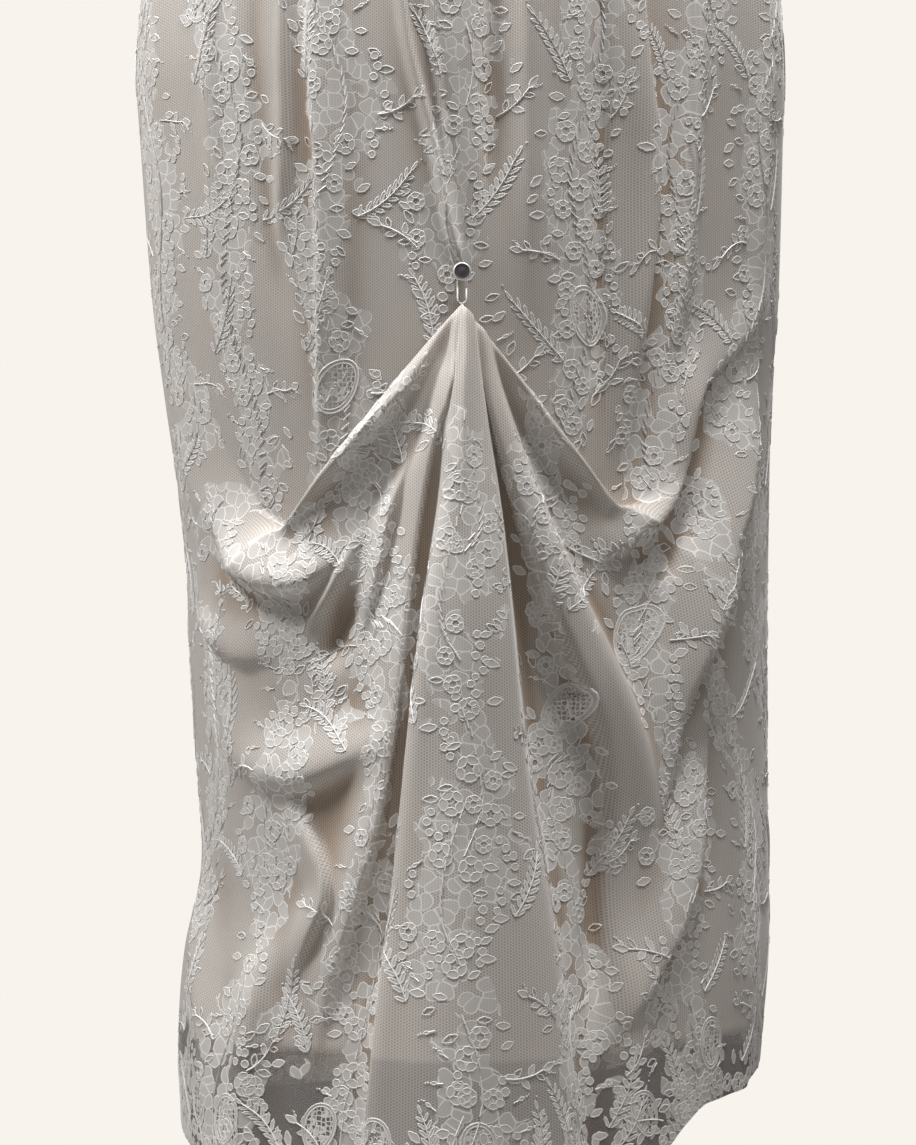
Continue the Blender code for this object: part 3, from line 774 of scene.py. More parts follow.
@dataclass
class BackSkirt(Panel):
    """The back skirt: upper cloth, hidden fold, lifted edge, fan and swags, all one sheet."""

    waist: float = -420 * MM
    hem: float = -1462 * MM
    hem_dip: float = 10 * MM
    pick_up: float = -897 * MM
    cusp: tuple = (-34.0, 26.0)
    cusp_drop: tuple = (-1045 * MM, -1030 * MM)
    cusp_share: float = 0.50
    pouch_sag: float = 105 * MM
    side_fold_top: float = -960 * MM
    side_fold_foot: float = -1110 * MM
    fan_lift: float = 12 * MM
    fan_lift_hem: float = 26 * MM
    side_reach: float = 78.0
    seam_calm: float = 12.0
    waist_calm: float = 80 * MM
    hidden_drop: float = 60 * MM
    hidden_fade: float = 50 * MM
    opens: tuple = (0.7, 0.35)
    dense: float = 0.72
    columns: int = 256
    row_length: float = 5.0 * MM

    # Folds of the upper cloth, above the lifted edge
    UPPER = (
        Fold("left hip", ((-66, -480), (-67, -700), (-64, -960)), 3, (16, 16), (16, 20)),
        Fold("left band", ((-47, -500), (-47, -700), (-48, -890)), 4, (12, 10), (7, 7)),
        Fold("left hollow", ((-37, -560), (-36, -800), (-31, -940)), -3, (7, 8), (7, 8)),
        Fold("left ridge", ((-31, -480), (-31, -760), (-34, -880)), 5, (5, 6), (5, 6)),
        Fold("left crisp", ((-26, -480), (-25, -700), (-24, -800), (-24, -870), (-26, -960), (-28, -1010)), 10,
             (4.5, 4), (16, 11), lean=-2),
        Fold("drawn crease", ((-14, -500), (-10, -700), (-5, -790), (-2, -850), (-0.5, -868)), 6,
             (4, 3), (2.5, 2), start=0.3, end=0.5, lean=1),
        Fold("second crease", ((-7, -600), (-5.5, -700), (-4, -760), (-2, -830), (-0.5, -866)), 3,
             (2.5, 2), (2, 2), start=0.2, end=0.5),
        Fold("centre hollow", ((4, -480), (4, -700), (5, -880)), -7, (6, 5), (12, 11)),
        Fold("plateau", ((11, -480), (11, -760), (12, -940)), 5, (8, 9), (12, 14)),
        Fold("right hollow", ((24, -540), (24, -860), (25, -1010)), -6, (9, 8), (4, 4)),
        Fold("right crisp", ((29, -460), (30.5, -700), (33, -800), (32, -880), (30, -960), (28, -1045)), 12,
             (17, 14), (4, 4), lean=3),
        Fold("right second", ((44, -480), (43, -700), (41, -830), (39, -910), (37, -960)), 8, (3, 3), (11, 10)),
        Fold("right outer", ((64, -480), (65, -750), (64, -960)), 6, (14, 14), (7, 7)),
    )

    # Folds of the train, below its lifted edge
    TRAIN = (
        Fold("centre", ((1, -905), (1, -1040), (0.5, -1200), (1, -1330), (1.5, -1500)), 34, (3, 64), (3, 66),
             start=0.3, end=1, flat=8, spread=4),
        Fold("centre crown", ((0.5, -900), (0, -940), (-1, -1000), (0, -1200), (0, -1500)), 10, (3, 34), (3, 30),
             start=0.5, end=1),
        Fold("centre left roll", ((-3, -1020), (-5, -1080), (-8, -1195), (-11, -1320), (-13, -1424), (-14, -1500)),
             7, (4, 5), (7, 9), end=1, lean=-3),
        Fold("left ridge", ((-2, -950), (-6, -1000), (-9, -1060), (-11, -1120), (-13, -1180), (-16, -1240),
                            (-20, -1290), (-24, -1350), (-27, -1430)), 17, (11, 24), (3, 4), start=0.4, lean=4),
        Fold("left middle", ((-3, -930), (-12, -1020), (-16, -1080), (-19, -1120)), 7, (6, 8), (3, 4), lean=2),
        Fold("left edge roll", ((-2, -908), (-8, -946), (-17, -983), (-26, -1014), (-33, -1038)), 9, (4, 8), (3, 7),
             start=0.4, end=0.5),
        Fold("left valley", ((-2.5, -919), (-7, -975), (-12, -1010), (-20, -1052)), -5, (3, 7), (3, 7)),
        Fold("left gather", ((-0.8, -904), (-2.2, -960), (-4, -1030)), 5, (2, 4), (2, 4), start=0.4),
        Fold("middle gather", ((0.9, -904), (0.6, -960), (0.2, -1050)), 5, (2, 6), (2, 5), start=0.4),
        Fold("right gather", ((2, -904), (3.4, -960), (5.6, -1040)), -6, (2, 3.5), (2, 3.5), start=0.4),
        Fold("right edge roll", ((3, -908), (9, -946), (15, -980), (21, -1006), (25, -1026)), 9, (3, 8), (4, 9),
             start=0.4, end=0.5),
        Fold("left swag", ((-72, -985), (-58, -1030), (-46, -1066), (-35, -1078), (-26, -1070), (-20, -1040)), 14,
             (12, 7), (26, 16), lean=-4),
        Fold("left swag roll", ((-18, -1042), (-22, -1072), (-26, -1096), (-31, -1120)), 6, (4, 4), (4, 4)),
        Fold("left pocket", ((-20, -1080), (-23, -1110), (-26, -1140)), -8, (8, 8), (10, 10)),
        Fold("left second swag", ((-70, -1082), (-58, -1112), (-44, -1128), (-34, -1124)), 7,
             (9, 7), (20, 14), lean=-2),
        Fold("left third swag", ((-62, -1160), (-46, -1196), (-32, -1206), (-19, -1186), (-14, -1160)), 10,
             (14, 10), (30, 18), lean=-2),
        Fold("left knee", ((-36, -1212), (-30, -1241), (-26, -1277), (-29, -1314), (-32, -1350)), 10,
             (16, 16), (5, 5), lean=3),
        Fold("left side", ((-71, -1225), (-67, -1285), (-60, -1335), (-52, -1386), (-48, -1470)), 9,
             (3, 3), (22, 26), end=1, lean=-5),
        Fold("left low", ((-36, -1300), (-39, -1380), (-41, -1500)), 9, (16, 20), (12, 14), end=1),
        Fold("right fold", ((2.5, -910), (5, -960), (9.5, -1020), (14.5, -1076), (19.5, -1121), (25, -1175),
                            (28, -1240), (28, -1300)), 20, (2.5, 17), (3, 22), start=0.3, flat=4, spread=4),
        Fold("right valley", ((4, -930), (10, -975), (16, -1018), (21, -1052)), -3, (4, 6), (4, 7)),
        Fold("right dark", ((22, -1200), (22, -1290), (21, -1400)), -12, (10, 10), (7, 8)),
        Fold("right lower swag", ((47, -1130), (45, -1177), (42, -1233), (40, -1270), (36, -1302), (31, -1334),
                                  (26, -1362), (21, -1390)), 11, (24, 22), (4, 4), lean=4),
        Fold("right low", ((27, -1300), (28, -1390), (29, -1500)), 8, (9, 12), (12, 16), end=1),
        Fold("right under", ((60, -1200), (62, -1340), (60, -1500)), 4, (16, 16), (16, 16), end=1),
    )

    # Folds that cross from the upper cloth to the train, beside the swags
    SIDES = (
        Fold("right pouch", ((62, -905), (48, -939), (43, -962), (40, -1000), (36, -1028), (31, -1044), (27, -1056)),
             13, (22, 18), (5, 5), start=0.3, end=0.6, lean=4),
        Fold("right pocket", ((46, -1010), (38, -1052), (30, -1080)), -8, (10, 10), (12, 12)),
        Fold("right swag", ((67, -890), (65, -940), (62, -980), (56, -1020), (51, -1050), (48, -1085), (44, -1118),
                            (38, -1161), (34, -1222), (30, -1268)), 20, (34, 30), (3, 3), lean=7),
        Fold("left shoulder", ((-70, -930), (-66, -1000), (-62, -1060), (-63, -1130)), 5, (10, 12), (14, 16)),
    )

    ROWS = (
        (0, 0.0, (0, 0.12, 0.26, 0.40, 0.53, 0.65, 0.76, 0.86, 0.95, 0.99)),
        (1, 0.5, (0.01, 0.10, 0.50, 0.90, 0.99)),
        (2, 1.0, (0.004, 0.03, 0.08, 0.15, 0.23, 0.32, 0.41, 0.51, 0.61, 0.71, 0.81, 0.91, 1)),
    )

    def cusp_of(self, angle: np.ndarray) -> tuple[np.ndarray, np.ndarray]:
        """The angle and height of the cusp on the side where an angle lies."""
        right = angle > 0
        return np.where(right, self.cusp[1], self.cusp[0]), np.where(right, self.cusp_drop[1], self.cusp_drop[0])

    def curves(self, columns: np.ndarray) -> tuple:
        """Angle and height at the waist, the hidden fold, the lifted edge and the hem, for each column."""
        cusp, cusp_drop = self.cusp_of(columns)
        inner = np.minimum(np.abs(columns) / self.cusp_share, 1)
        outer = np.clip((np.abs(columns) - self.cusp_share) / (1 - self.cusp_share), 0, 1)
        parted = smooth_step(2 * outer)
        side = 90 * np.sign(columns)
        gather = inner**1.5
        angle = cusp * gather + (side - cusp) * outer
        hidden = cusp * inner**1.15 + (side - cusp) * outer
        fold = cusp_drop - self.pouch_sag * (1 - inner**2) + (self.side_fold_top - cusp_drop) * parted
        edge = self.pick_up + (cusp_drop - self.pick_up) * gather + (self.side_fold_foot - cusp_drop) * parted
        hem = self.hem - self.hem_dip * np.cos(np.radians(90 * columns)) + drawn_up(90 * columns)
        waist = np.full_like(columns, self.waist - self.seam_gap / 2)
        straight = 90 * columns
        return (straight, waist), (hidden, fold), (angle, edge), (straight, hem)

    def opening(self, columns: np.ndarray) -> np.ndarray:
        """How far the hidden fold has opened out at each column, from 0 at the middle to 1 beside the swags."""
        return smooth_step((np.abs(columns) / self.cusp_share - self.opens[0]) / self.opens[1])

    def rows(self, columns: np.ndarray) -> tuple[np.ndarray, np.ndarray, np.ndarray]:
        """Angle, height and layer of every grid point, with the cloth rounded at its turns."""
        curves = self.curves(columns)
        opened = self.opening(columns)
        knots = []
        for stretch, layer, shares in self.ROWS:
            (top_angle, top), (foot_angle, foot) = curves[stretch], curves[stretch + 1]
            for share in shares:
                depth = layer + (share - 0.5) * opened if stretch == 1 else np.full_like(columns, layer)
                knots.append(np.stack([top_angle + (foot_angle - top_angle) * share,
                                       top + (foot - top) * share, depth], axis=-1))
        knots = np.array([2 * knots[0] - knots[1], *knots, 2 * knots[-1] - knots[-2]])
        middle = len(columns) // 2
        made = []
        for k in range(1, len(knots) - 2):
            a, b, c, d = knots[k - 1:k + 3]
            run = max(abs(b[middle, 1] - c[middle, 1]), 0.6 * abs(b[-1, 1] - c[-1, 1]))
            steps = max(3, round(run / self.row_length))
            for t in np.arange(steps) / steps:
                made.append(((1 - t) ** 3 * a + (3 * t**3 - 6 * t**2 + 4) * b
                             + (-3 * t**3 + 3 * t**2 + 3 * t + 1) * c + t**3 * d) / 6)
        made.append(knots[-2])
        grid = np.array(made)
        return grid[..., 0], grid[..., 1], grid[..., 2]

    def edge_height(self, angle: np.ndarray) -> np.ndarray:
        """Height of the lifted edge of the train at an angle."""
        cusp, cusp_drop = self.cusp_of(angle)
        return self.pick_up + (cusp_drop - self.pick_up) * np.clip(np.abs(angle / cusp), 0, 1)

    def grid(self) -> ClothGrid:
        """Lays out the whole sheet."""
        even = np.linspace(-1, 1, self.columns + 1)
        columns = even * (self.dense + (1 - self.dense) * even**2)
        angle, height, layer = self.rows(columns)
        self.layer = layer
        seam = smooth_step((90 - np.abs(angle)) / self.seam_calm)
        shown = smooth_step((height - self.edge_height(angle) + self.hidden_drop) / self.hidden_fade)
        shown = shown * seam * smooth_step((self.waist - height) / self.waist_calm)
        share = np.clip((self.pick_up - height) / (self.pick_up - self.hem), 0, 1)
        cusp, _ = self.cusp_of(angle)
        beyond = (np.abs(angle) - np.abs(cusp)) / (self.side_reach - np.abs(cusp))
        stand = (self.fan_lift + (self.fan_lift_hem - self.fan_lift) * share) * (1 - smooth_step(beyond))
        opened = self.opening(columns) * seam
        moved = fold_field(self.UPPER, angle, height) * ((1 - layer) * shown)[..., None]
        moved += fold_field(self.TRAIN, angle, height) * (layer * seam)[..., None]
        moved += fold_field(self.SIDES, angle, height) * opened[..., None]
        turned = angle + np.degrees(moved[..., 1] / FORM_RADIUS)
        points = self.figure.skirt(turned, height + moved[..., 2], moved[..., 0] + layer * stand)
        points[..., 1] -= self.seam_gap / 2
        return ClothGrid(points)


@dataclass
class FrontSkirt(Panel):
    """The front skirt panel, plain but for its soft folds."""

    waist: float = -420 * MM
    hem: float = -1462 * MM
    seam_calm: float = 12.0
    waist_calm: float = 120 * MM
    columns: int = 110
    rows: int = 110

    FOLDS = (
        Fold("front left", ((-136, -620), (-134, -1000), (-132, -1500)), 7, (24, 34), (24, 34), end=1),
        Fold("front middle left", ((-163, -700), (-165, -1050), (-166, -1500)), 5, (20, 30), (20, 30), end=1),
        Fold("front middle right", ((168, -640), (166, -1020), (163, -1500)), 6, (22, 32), (22, 32), end=1),
        Fold("front right", ((134, -600), (137, -980), (138, -1500)), 7, (24, 34), (24, 34), end=1),
        Fold("front far right", ((108, -720), (109, -1100), (110, -1500)), 4, (18, 24), (18, 24), end=1),
        Fold("front far left", ((-110, -680), (-108, -1080), (-107, -1500)), 4, (18, 24), (18, 24), end=1),
    )

    def grid(self) -> ClothGrid:
        """Lays out the panel."""
        angle, share = np.meshgrid(np.linspace(90, 270, self.columns + 1), np.linspace(0, 1, self.rows + 1))
        top = self.waist - self.seam_gap / 2
        height = top + (self.hem + drawn_up(angle) - top) * share
        turned = np.where(angle > 180, angle - 360, angle)
        seam = smooth_step((90 - np.abs(180 - angle)) / self.seam_calm)
        seam = seam * smooth_step((self.waist - height) / self.waist_calm)
        points = self.figure.skirt(angle, height, fold_field(self.FOLDS, turned, height)[..., 0] * seam)
        points[..., 1] += self.seam_gap / 2
        return ClothGrid(points)


@dataclass
class Lining(Panel):
    """One lining panel, which hangs inside the lace and ends above its hem."""

    first: float = -90.0
    side: int = -1
    waist: float = -420 * MM
    hem: float = -1388 * MM
    cloth: float = 1.5 * MM
    depth: float = 9 * MM
    settle: float = 100 * MM
    columns: int = 90
    rows: int = 90

    FOLDS = (
        Fold("left", ((-52, -600), (-50, -1000), (-49, -1440)), 3, (18, 26), (18, 26), end=1),
        Fold("centre left", ((-20, -640), (-18, -1000), (-17, -1440)), 3, (14, 22), (14, 22), end=1),
        Fold("centre right", ((10, -600), (9, -980), (10, -1440)), 3, (16, 24), (16, 24), end=1),
        Fold("right", ((44, -640), (47, -1040), (49, -1440)), 3, (18, 26), (18, 26), end=1),
    )

    def grid(self) -> ClothGrid:
        """Lays out the panel."""
        angle, height = np.meshgrid(np.linspace(self.first, self.first + 180, self.columns + 1),
                                    np.linspace(self.waist - self.seam_gap / 2, self.hem, self.rows + 1))
        at_seam = self.cloth + 2 * self.seam_gap
        depth = at_seam + (self.depth - at_seam) * smooth_step((self.waist - height) / self.settle)
        ripple = fold_field(self.FOLDS, np.where(angle > 90, angle - 180, angle), height)[..., 0]
        points = self.figure.skirt(angle, height, ripple - depth)
        points[..., 1] += self.side * self.seam_gap / 2
        return ClothGrid(points)


@dataclass
class BodicePanel(Panel):
    """A bodice panel, cut with its neck, its armhole and its share of the straps."""

    sides: tuple = (-1, 1)
    strap: tuple = (25.0, 46.0)
    low_rows: int = 56
    strap_rows: int = 42
    finer: int = 6

    # Angle from the middle, and the top edge's level of the form at the front and at the back
    NECK = ((0, 6.6, 6.3), (10, 6.4, 6.1), (19, 5.9, 5.6), (25, 5.3, 5.0), (32, 5.3, 5.1),
            (39, 5.5, 5.3), (46, 5.9, 5.8), (56, 6.6, 6.6), (72, 7.0, 7.0), (90, 7.1, 7.1))

    @property
    def front(self) -> bool:
        """Whether the panel is the front one, which reaches to both sides."""
        return len(self.sides) == 2

    def grid(self) -> ClothGrid:
        """Lays out the panel."""
        half = [(angle, front if self.front else back) for angle, front, back in self.NECK]
        edge = np.array(sorted({(side * angle, level) for side in self.sides for angle, level in half}))
        steps = np.linspace(0, len(edge) - 1, self.finer * (len(edge) - 1) + 1)
        angle, top = (np.interp(steps, np.arange(len(edge)), edge[:, k]) for k in range(2))
        low = [WAIST_LEVEL + (top - WAIST_LEVEL) * k / self.low_rows for k in range(self.low_rows + 1)]
        strap = [top * (1 - k / self.strap_rows) for k in range(1, self.strap_rows + 1)]
        level = np.array(low + strap)[::-1]
        angles = np.broadcast_to(angle, level.shape)
        around = np.where(angles < 0, -180 - angles, 180 - angles) if self.front else angles
        points = self.figure.bodice(around, level)
        points[..., 1] += self.seam_gap / 2 if self.front else -self.seam_gap / 2
        points[-1, :, 2] += self.seam_gap / 2
        if not self.front:
            points[..., 0] += self.sides[0] * self.seam_gap / 2
        middle = (np.abs(angle[:-1]) + np.abs(angle[1:])) / 2
        on_strap = (middle > self.strap[0]) & (middle < self.strap[1])
        rows = np.arange(level.shape[0] - 1)[:, None]
        kept = (rows >= self.strap_rows) | on_strap[None, :]
        if self.front:
            points, kept = points[:, ::-1], kept[:, ::-1]
        return ClothGrid(points, kept)


# The lace's motifs

class Part(Enum):
    """The three things that a motif is worked in."""

    CLOTHWORK = 0
    CORD = 1
    COARSE_NET = 2


class Kind(Enum):
    """The motifs of the lace."""

    FLOWER = "flower"
    BLOSSOM = "blossom"
    CELLS = "cells"
    LEAF = "leaf"
    OPEN_LEAF = "open leaf"
    SPRIG = "sprig"
    EAR = "ear"
    RING = "ring"
    BUD = "bud"
    STEM = "stem"


@dataclass
class Shape:
    """A motif, or a piece of one, lying flat: its corners, its faces and what each face is worked in."""

    corners: np.ndarray
    faces: list
    parts: list

    @classmethod
    def taken(cls, shape: bmesh.types.BMesh) -> "Shape":
        """Reads a shape from a bmesh, and frees it."""
        shape.verts.ensure_lookup_table()
        shape.verts.index_update()
        corners = np.array([v.co[:] for v in shape.verts])
        faces = [tuple(v.index for v in f.verts) for f in shape.faces]
        parts = [f.material_index for f in shape.faces]
        shape.free()
        return cls(corners, faces, parts)

    def moved(self, x: float = 0, y: float = 0, turn: float = 0, size: float = 1, lift: float = 0) -> "Shape":
        """A copy, scaled, turned in degrees, and moved in millimetres."""
        c, s = math.cos(math.radians(turn)) * size, math.sin(math.radians(turn)) * size
        place = self.corners @ np.array([[c, s, 0], [-s, c, 0], [0, 0, 1]])
        return Shape(place + np.array([x, y, lift]) * MM, self.faces, self.parts)

    @staticmethod
    def joined(shapes: Iterable["Shape"]) -> "Shape":
        """Several shapes as one."""
        corners, faces, parts, count = [], [], [], 0
        for shape in shapes:
            corners.append(shape.corners)
            faces += [tuple(k + count for k in face) for face in shape.faces]
            parts += shape.parts
            count += len(shape.corners)
        return Shape(np.vstack(corners), faces, parts)


def around(radius: float, turn: float) -> tuple[float, float]:
    """A place at a radius from the origin, turned to the left from +Y by so many degrees."""
    return -radius * math.sin(math.radians(turn)), radius * math.cos(math.radians(turn))


@dataclass
class MotifShop:
    """Works each motif of the lace once. Sizes are in millimetres."""

    cord: float = 1.0
    cord_height: float = 0.26
    filling_height: float = 0.10

    @staticmethod
    def inset(shape: bmesh.types.BMesh, faces: list, thickness: float, depth: float, part: Part) -> None:
        """Insets faces by a thickness and raises them by a depth, both in millimetres.

        Args:
            shape: the bmesh.
            faces: the faces, which stay the inner ones.
            thickness: how wide the new rim is.
            depth: how far the inner faces rise.
            part: what the rim is worked in.
        """
        rim = bmesh.ops.inset_region(shape, faces=faces, use_boundary=True, use_even_offset=True,
                                     thickness=thickness * MM, depth=depth * MM)
        for face in rim["faces"]:
            face.material_index = part.value

    def blade(self, length: float, width: float, sides: int, blunt: float = 0.5, filled: bool = True) -> Shape:
        """A petal or leaf: a corded outline and its filling.

        Args:
            length: its length, from its base at the origin towards +Y.
            width: its width.
            sides: corners of its outline.
            blunt: 1 for a round petal, 0 for a leaf with a pointed tip.
            filled: whether it has clothwork inside its cord.

        Returns:
            The shape.
        """
        shape = bmesh.new()
        bmesh.ops.create_circle(shape, cap_ends=True, segments=sides, radius=0.5 * MM)
        for corner in shape.verts:
            along = corner.co.y / (0.5 * MM)
            pinch = 1 - (1 - blunt) * 0.75 * max(along, 0) ** 2 - 0.35 * max(-along, 0) ** 2
            corner.co.x *= width * pinch
            corner.co.y = (corner.co.y + 0.5 * MM) * length
        face = shape.faces[:]
        self.inset(shape, face, 0.5 * self.cord, self.cord_height, Part.CORD)
        self.inset(shape, face, 0.5 * self.cord, self.filling_height - self.cord_height, Part.CORD)
        if not filled:
            bmesh.ops.delete(shape, geom=face, context="FACES")
        return Shape.taken(shape)

    def band(self, length: float, width: float, height: float) -> Shape:
        """A short straight length of cord, with its base at the origin and running towards +Y."""
        shape = bmesh.new()
        bmesh.ops.create_grid(shape, x_segments=2, y_segments=1, size=0.5 * MM)
        for corner in shape.verts:
            corner.co.z = height * MM if abs(corner.co.x) < 0.1 * MM else 0.05 * MM
            corner.co.x *= width
            corner.co.y = (corner.co.y + 0.5 * MM) * length
        for face in shape.faces:
            face.material_index = Part.CORD.value
        return Shape.taken(shape)

    def dot(self) -> Shape:
        """A small raised dot."""
        shape = bmesh.new()
        bmesh.ops.create_circle(shape, cap_ends=True, segments=6, radius=0.75 * MM)
        face = shape.faces[:]
        self.inset(shape, face, 0.35, 0.45, Part.CORD)
        face[0].material_index = Part.CORD.value
        return Shape.taken(shape)

    def flower(self, petals: int, radius: float, sides: int) -> Shape:
        """A flower of round petals about an open eye."""
        petal = self.blade(0.74 * radius, 1.05 * radius, sides, 1.0)
        made = []
        for k in range(petals):
            turn = 360 * k / petals
            made.append(petal.moved(*around(0.24 * radius, turn), turn, lift=0.06 * (k % 2)))
        return Shape.joined(made)

    def cells(self, count: int, size: float, sides: int) -> Shape:
        """A curved row of round cells, like the lobes of a hydrangea."""
        cell = self.blade(size, 0.95 * size, sides, 1.0)
        made = []
        for k in range(count):
            turn = 38 * (k - (count - 1) / 2)
            x, y = around(1.35 * size, turn)
            made.append(cell.moved(x, y - 1.35 * size, 0.6 * turn, 1 - 0.07 * abs(k - 1), lift=0.06 * (k % 2)))
        return Shape.joined(made)

    def bud(self, sides: int) -> Shape:
        """A drop on a short stem, with two dots at its tip."""
        drop = self.blade(5.2, 3.2, sides, 0.35)
        return Shape.joined([self.band(4, 0.9, 0.6), drop.moved(0, 3.4), self.dot().moved(0.3, 9.6),
                             self.dot().moved(-0.2, 11.2, size=0.8)])

    def curved_stem(self, length: float, bend: float, pieces: int) -> tuple[Shape, list]:
        """A stem that bends by so many degrees, and the places along it."""
        made, places = [], [(0.0, 0.0, 0.0)]
        x = y = 0.0
        step = length / pieces
        for k in range(pieces):
            turn = bend * (k / pieces - 0.5)
            made.append(self.band(step * 1.12, 1.0, 0.7).moved(x, y, turn))
            dx, dy = around(step, turn)
            x, y = x + dx, y + dy
            places.append((x, y, turn))
        return Shape.joined(made), places

    def sprig(self, sides: int) -> Shape:
        """A bent stem with two pairs of leaves, a leaf at its tip and two buds."""
        stem, places = self.curved_stem(26, 40, 5)
        leaf, open_leaf = self.blade(10.5, 5.6, sides, 0.25), self.blade(9.5, 5.2, sides, 0.3, False)
        made = [stem]
        for k, (side, shape) in zip((1, 2, 3, 4), ((1, open_leaf), (-1, leaf), (1, leaf), (-1, open_leaf))):
            x, y, turn = places[k]
            made.append(shape.moved(x, y, turn + 52 * side, 1 - 0.05 * k))
        x, y, turn = places[-1]
        made += [leaf.moved(x, y, turn, 0.95), self.bud(sides).moved(x, y, turn - 42, 0.8)]
        return Shape.joined(made)

    def ear(self, sides: int) -> Shape:
        """A long ear of narrow paired leaves."""
        stem, places = self.curved_stem(44, 26, 8)
        leaf = self.blade(8.6, 3.7, sides, 0.3)
        made = [stem]
        for k, (x, y, turn) in enumerate(places[:-1]):
            size = 0.82 + 0.30 * math.sin(math.pi * (k + 1.5) / 9)
            made += [leaf.moved(x, y, turn + 40, size), leaf.moved(x, y, turn - 40, size)]
        x, y, turn = places[-1]
        made += [leaf.moved(x, y, turn, 0.9), self.dot().moved(x, y + 9.5)]
        return Shape.joined(made)

    def ring(self, sides: int) -> Shape:
        """An oval ring of clothwork between two cords, with open net inside it."""
        shape = bmesh.new()
        bmesh.ops.create_circle(shape, cap_ends=True, segments=3 * sides, radius=15 * MM)
        for corner in shape.verts:
            corner.co.y *= 1.42
            corner.co.x *= 1 + 0.10 * corner.co.y / (21 * MM)
        face = shape.faces[:]
        for thickness, depth, part in ((0.6, 0.4, Part.CORD), (0.6, -0.25, Part.CORD), (1.5, 0.0, Part.CLOTHWORK),
                                       (0.5, 0.2, Part.CORD), (0.5, -0.25, Part.CORD)):
            self.inset(shape, face, thickness, depth, part)
        face[0].material_index = Part.COARSE_NET.value
        oval = Shape.taken(shape)
        twig = self.bud(6).moved(0, -12, 8, 1.3)
        return Shape.joined([oval, twig])

    def work(self, fine: bool) -> dict:
        """Works every motif, finely or more coarsely.

        Args:
            fine: whether the motifs are for cloth that is seen close to.

        Returns:
            The shapes by kind.
        """
        sides = 8 if fine else 6
        return {
            Kind.FLOWER: self.flower(5, 8.8, sides),
            Kind.BLOSSOM: self.flower(6, 7.2, sides - 1),
            Kind.CELLS: self.cells(3, 7.4, sides),
            Kind.LEAF: self.blade(11, 6, sides, 0.3),
            Kind.OPEN_LEAF: self.blade(11.5, 6, sides, 0.3, False),
            Kind.SPRIG: self.sprig(sides),
            Kind.EAR: self.ear(6),
            Kind.RING: self.ring(sides),
            Kind.BUD: self.bud(sides),
            Kind.STEM: self.band(6.5, 1.0, 0.65),
        }


@dataclass(frozen=True)
class Spot:
    """One motif on the cloth, in millimetres across and down, and its turn in degrees."""

    kind: Kind
    across: float
    down: float
    turn: float
    size: float = 1.0
    from_foot: bool = False


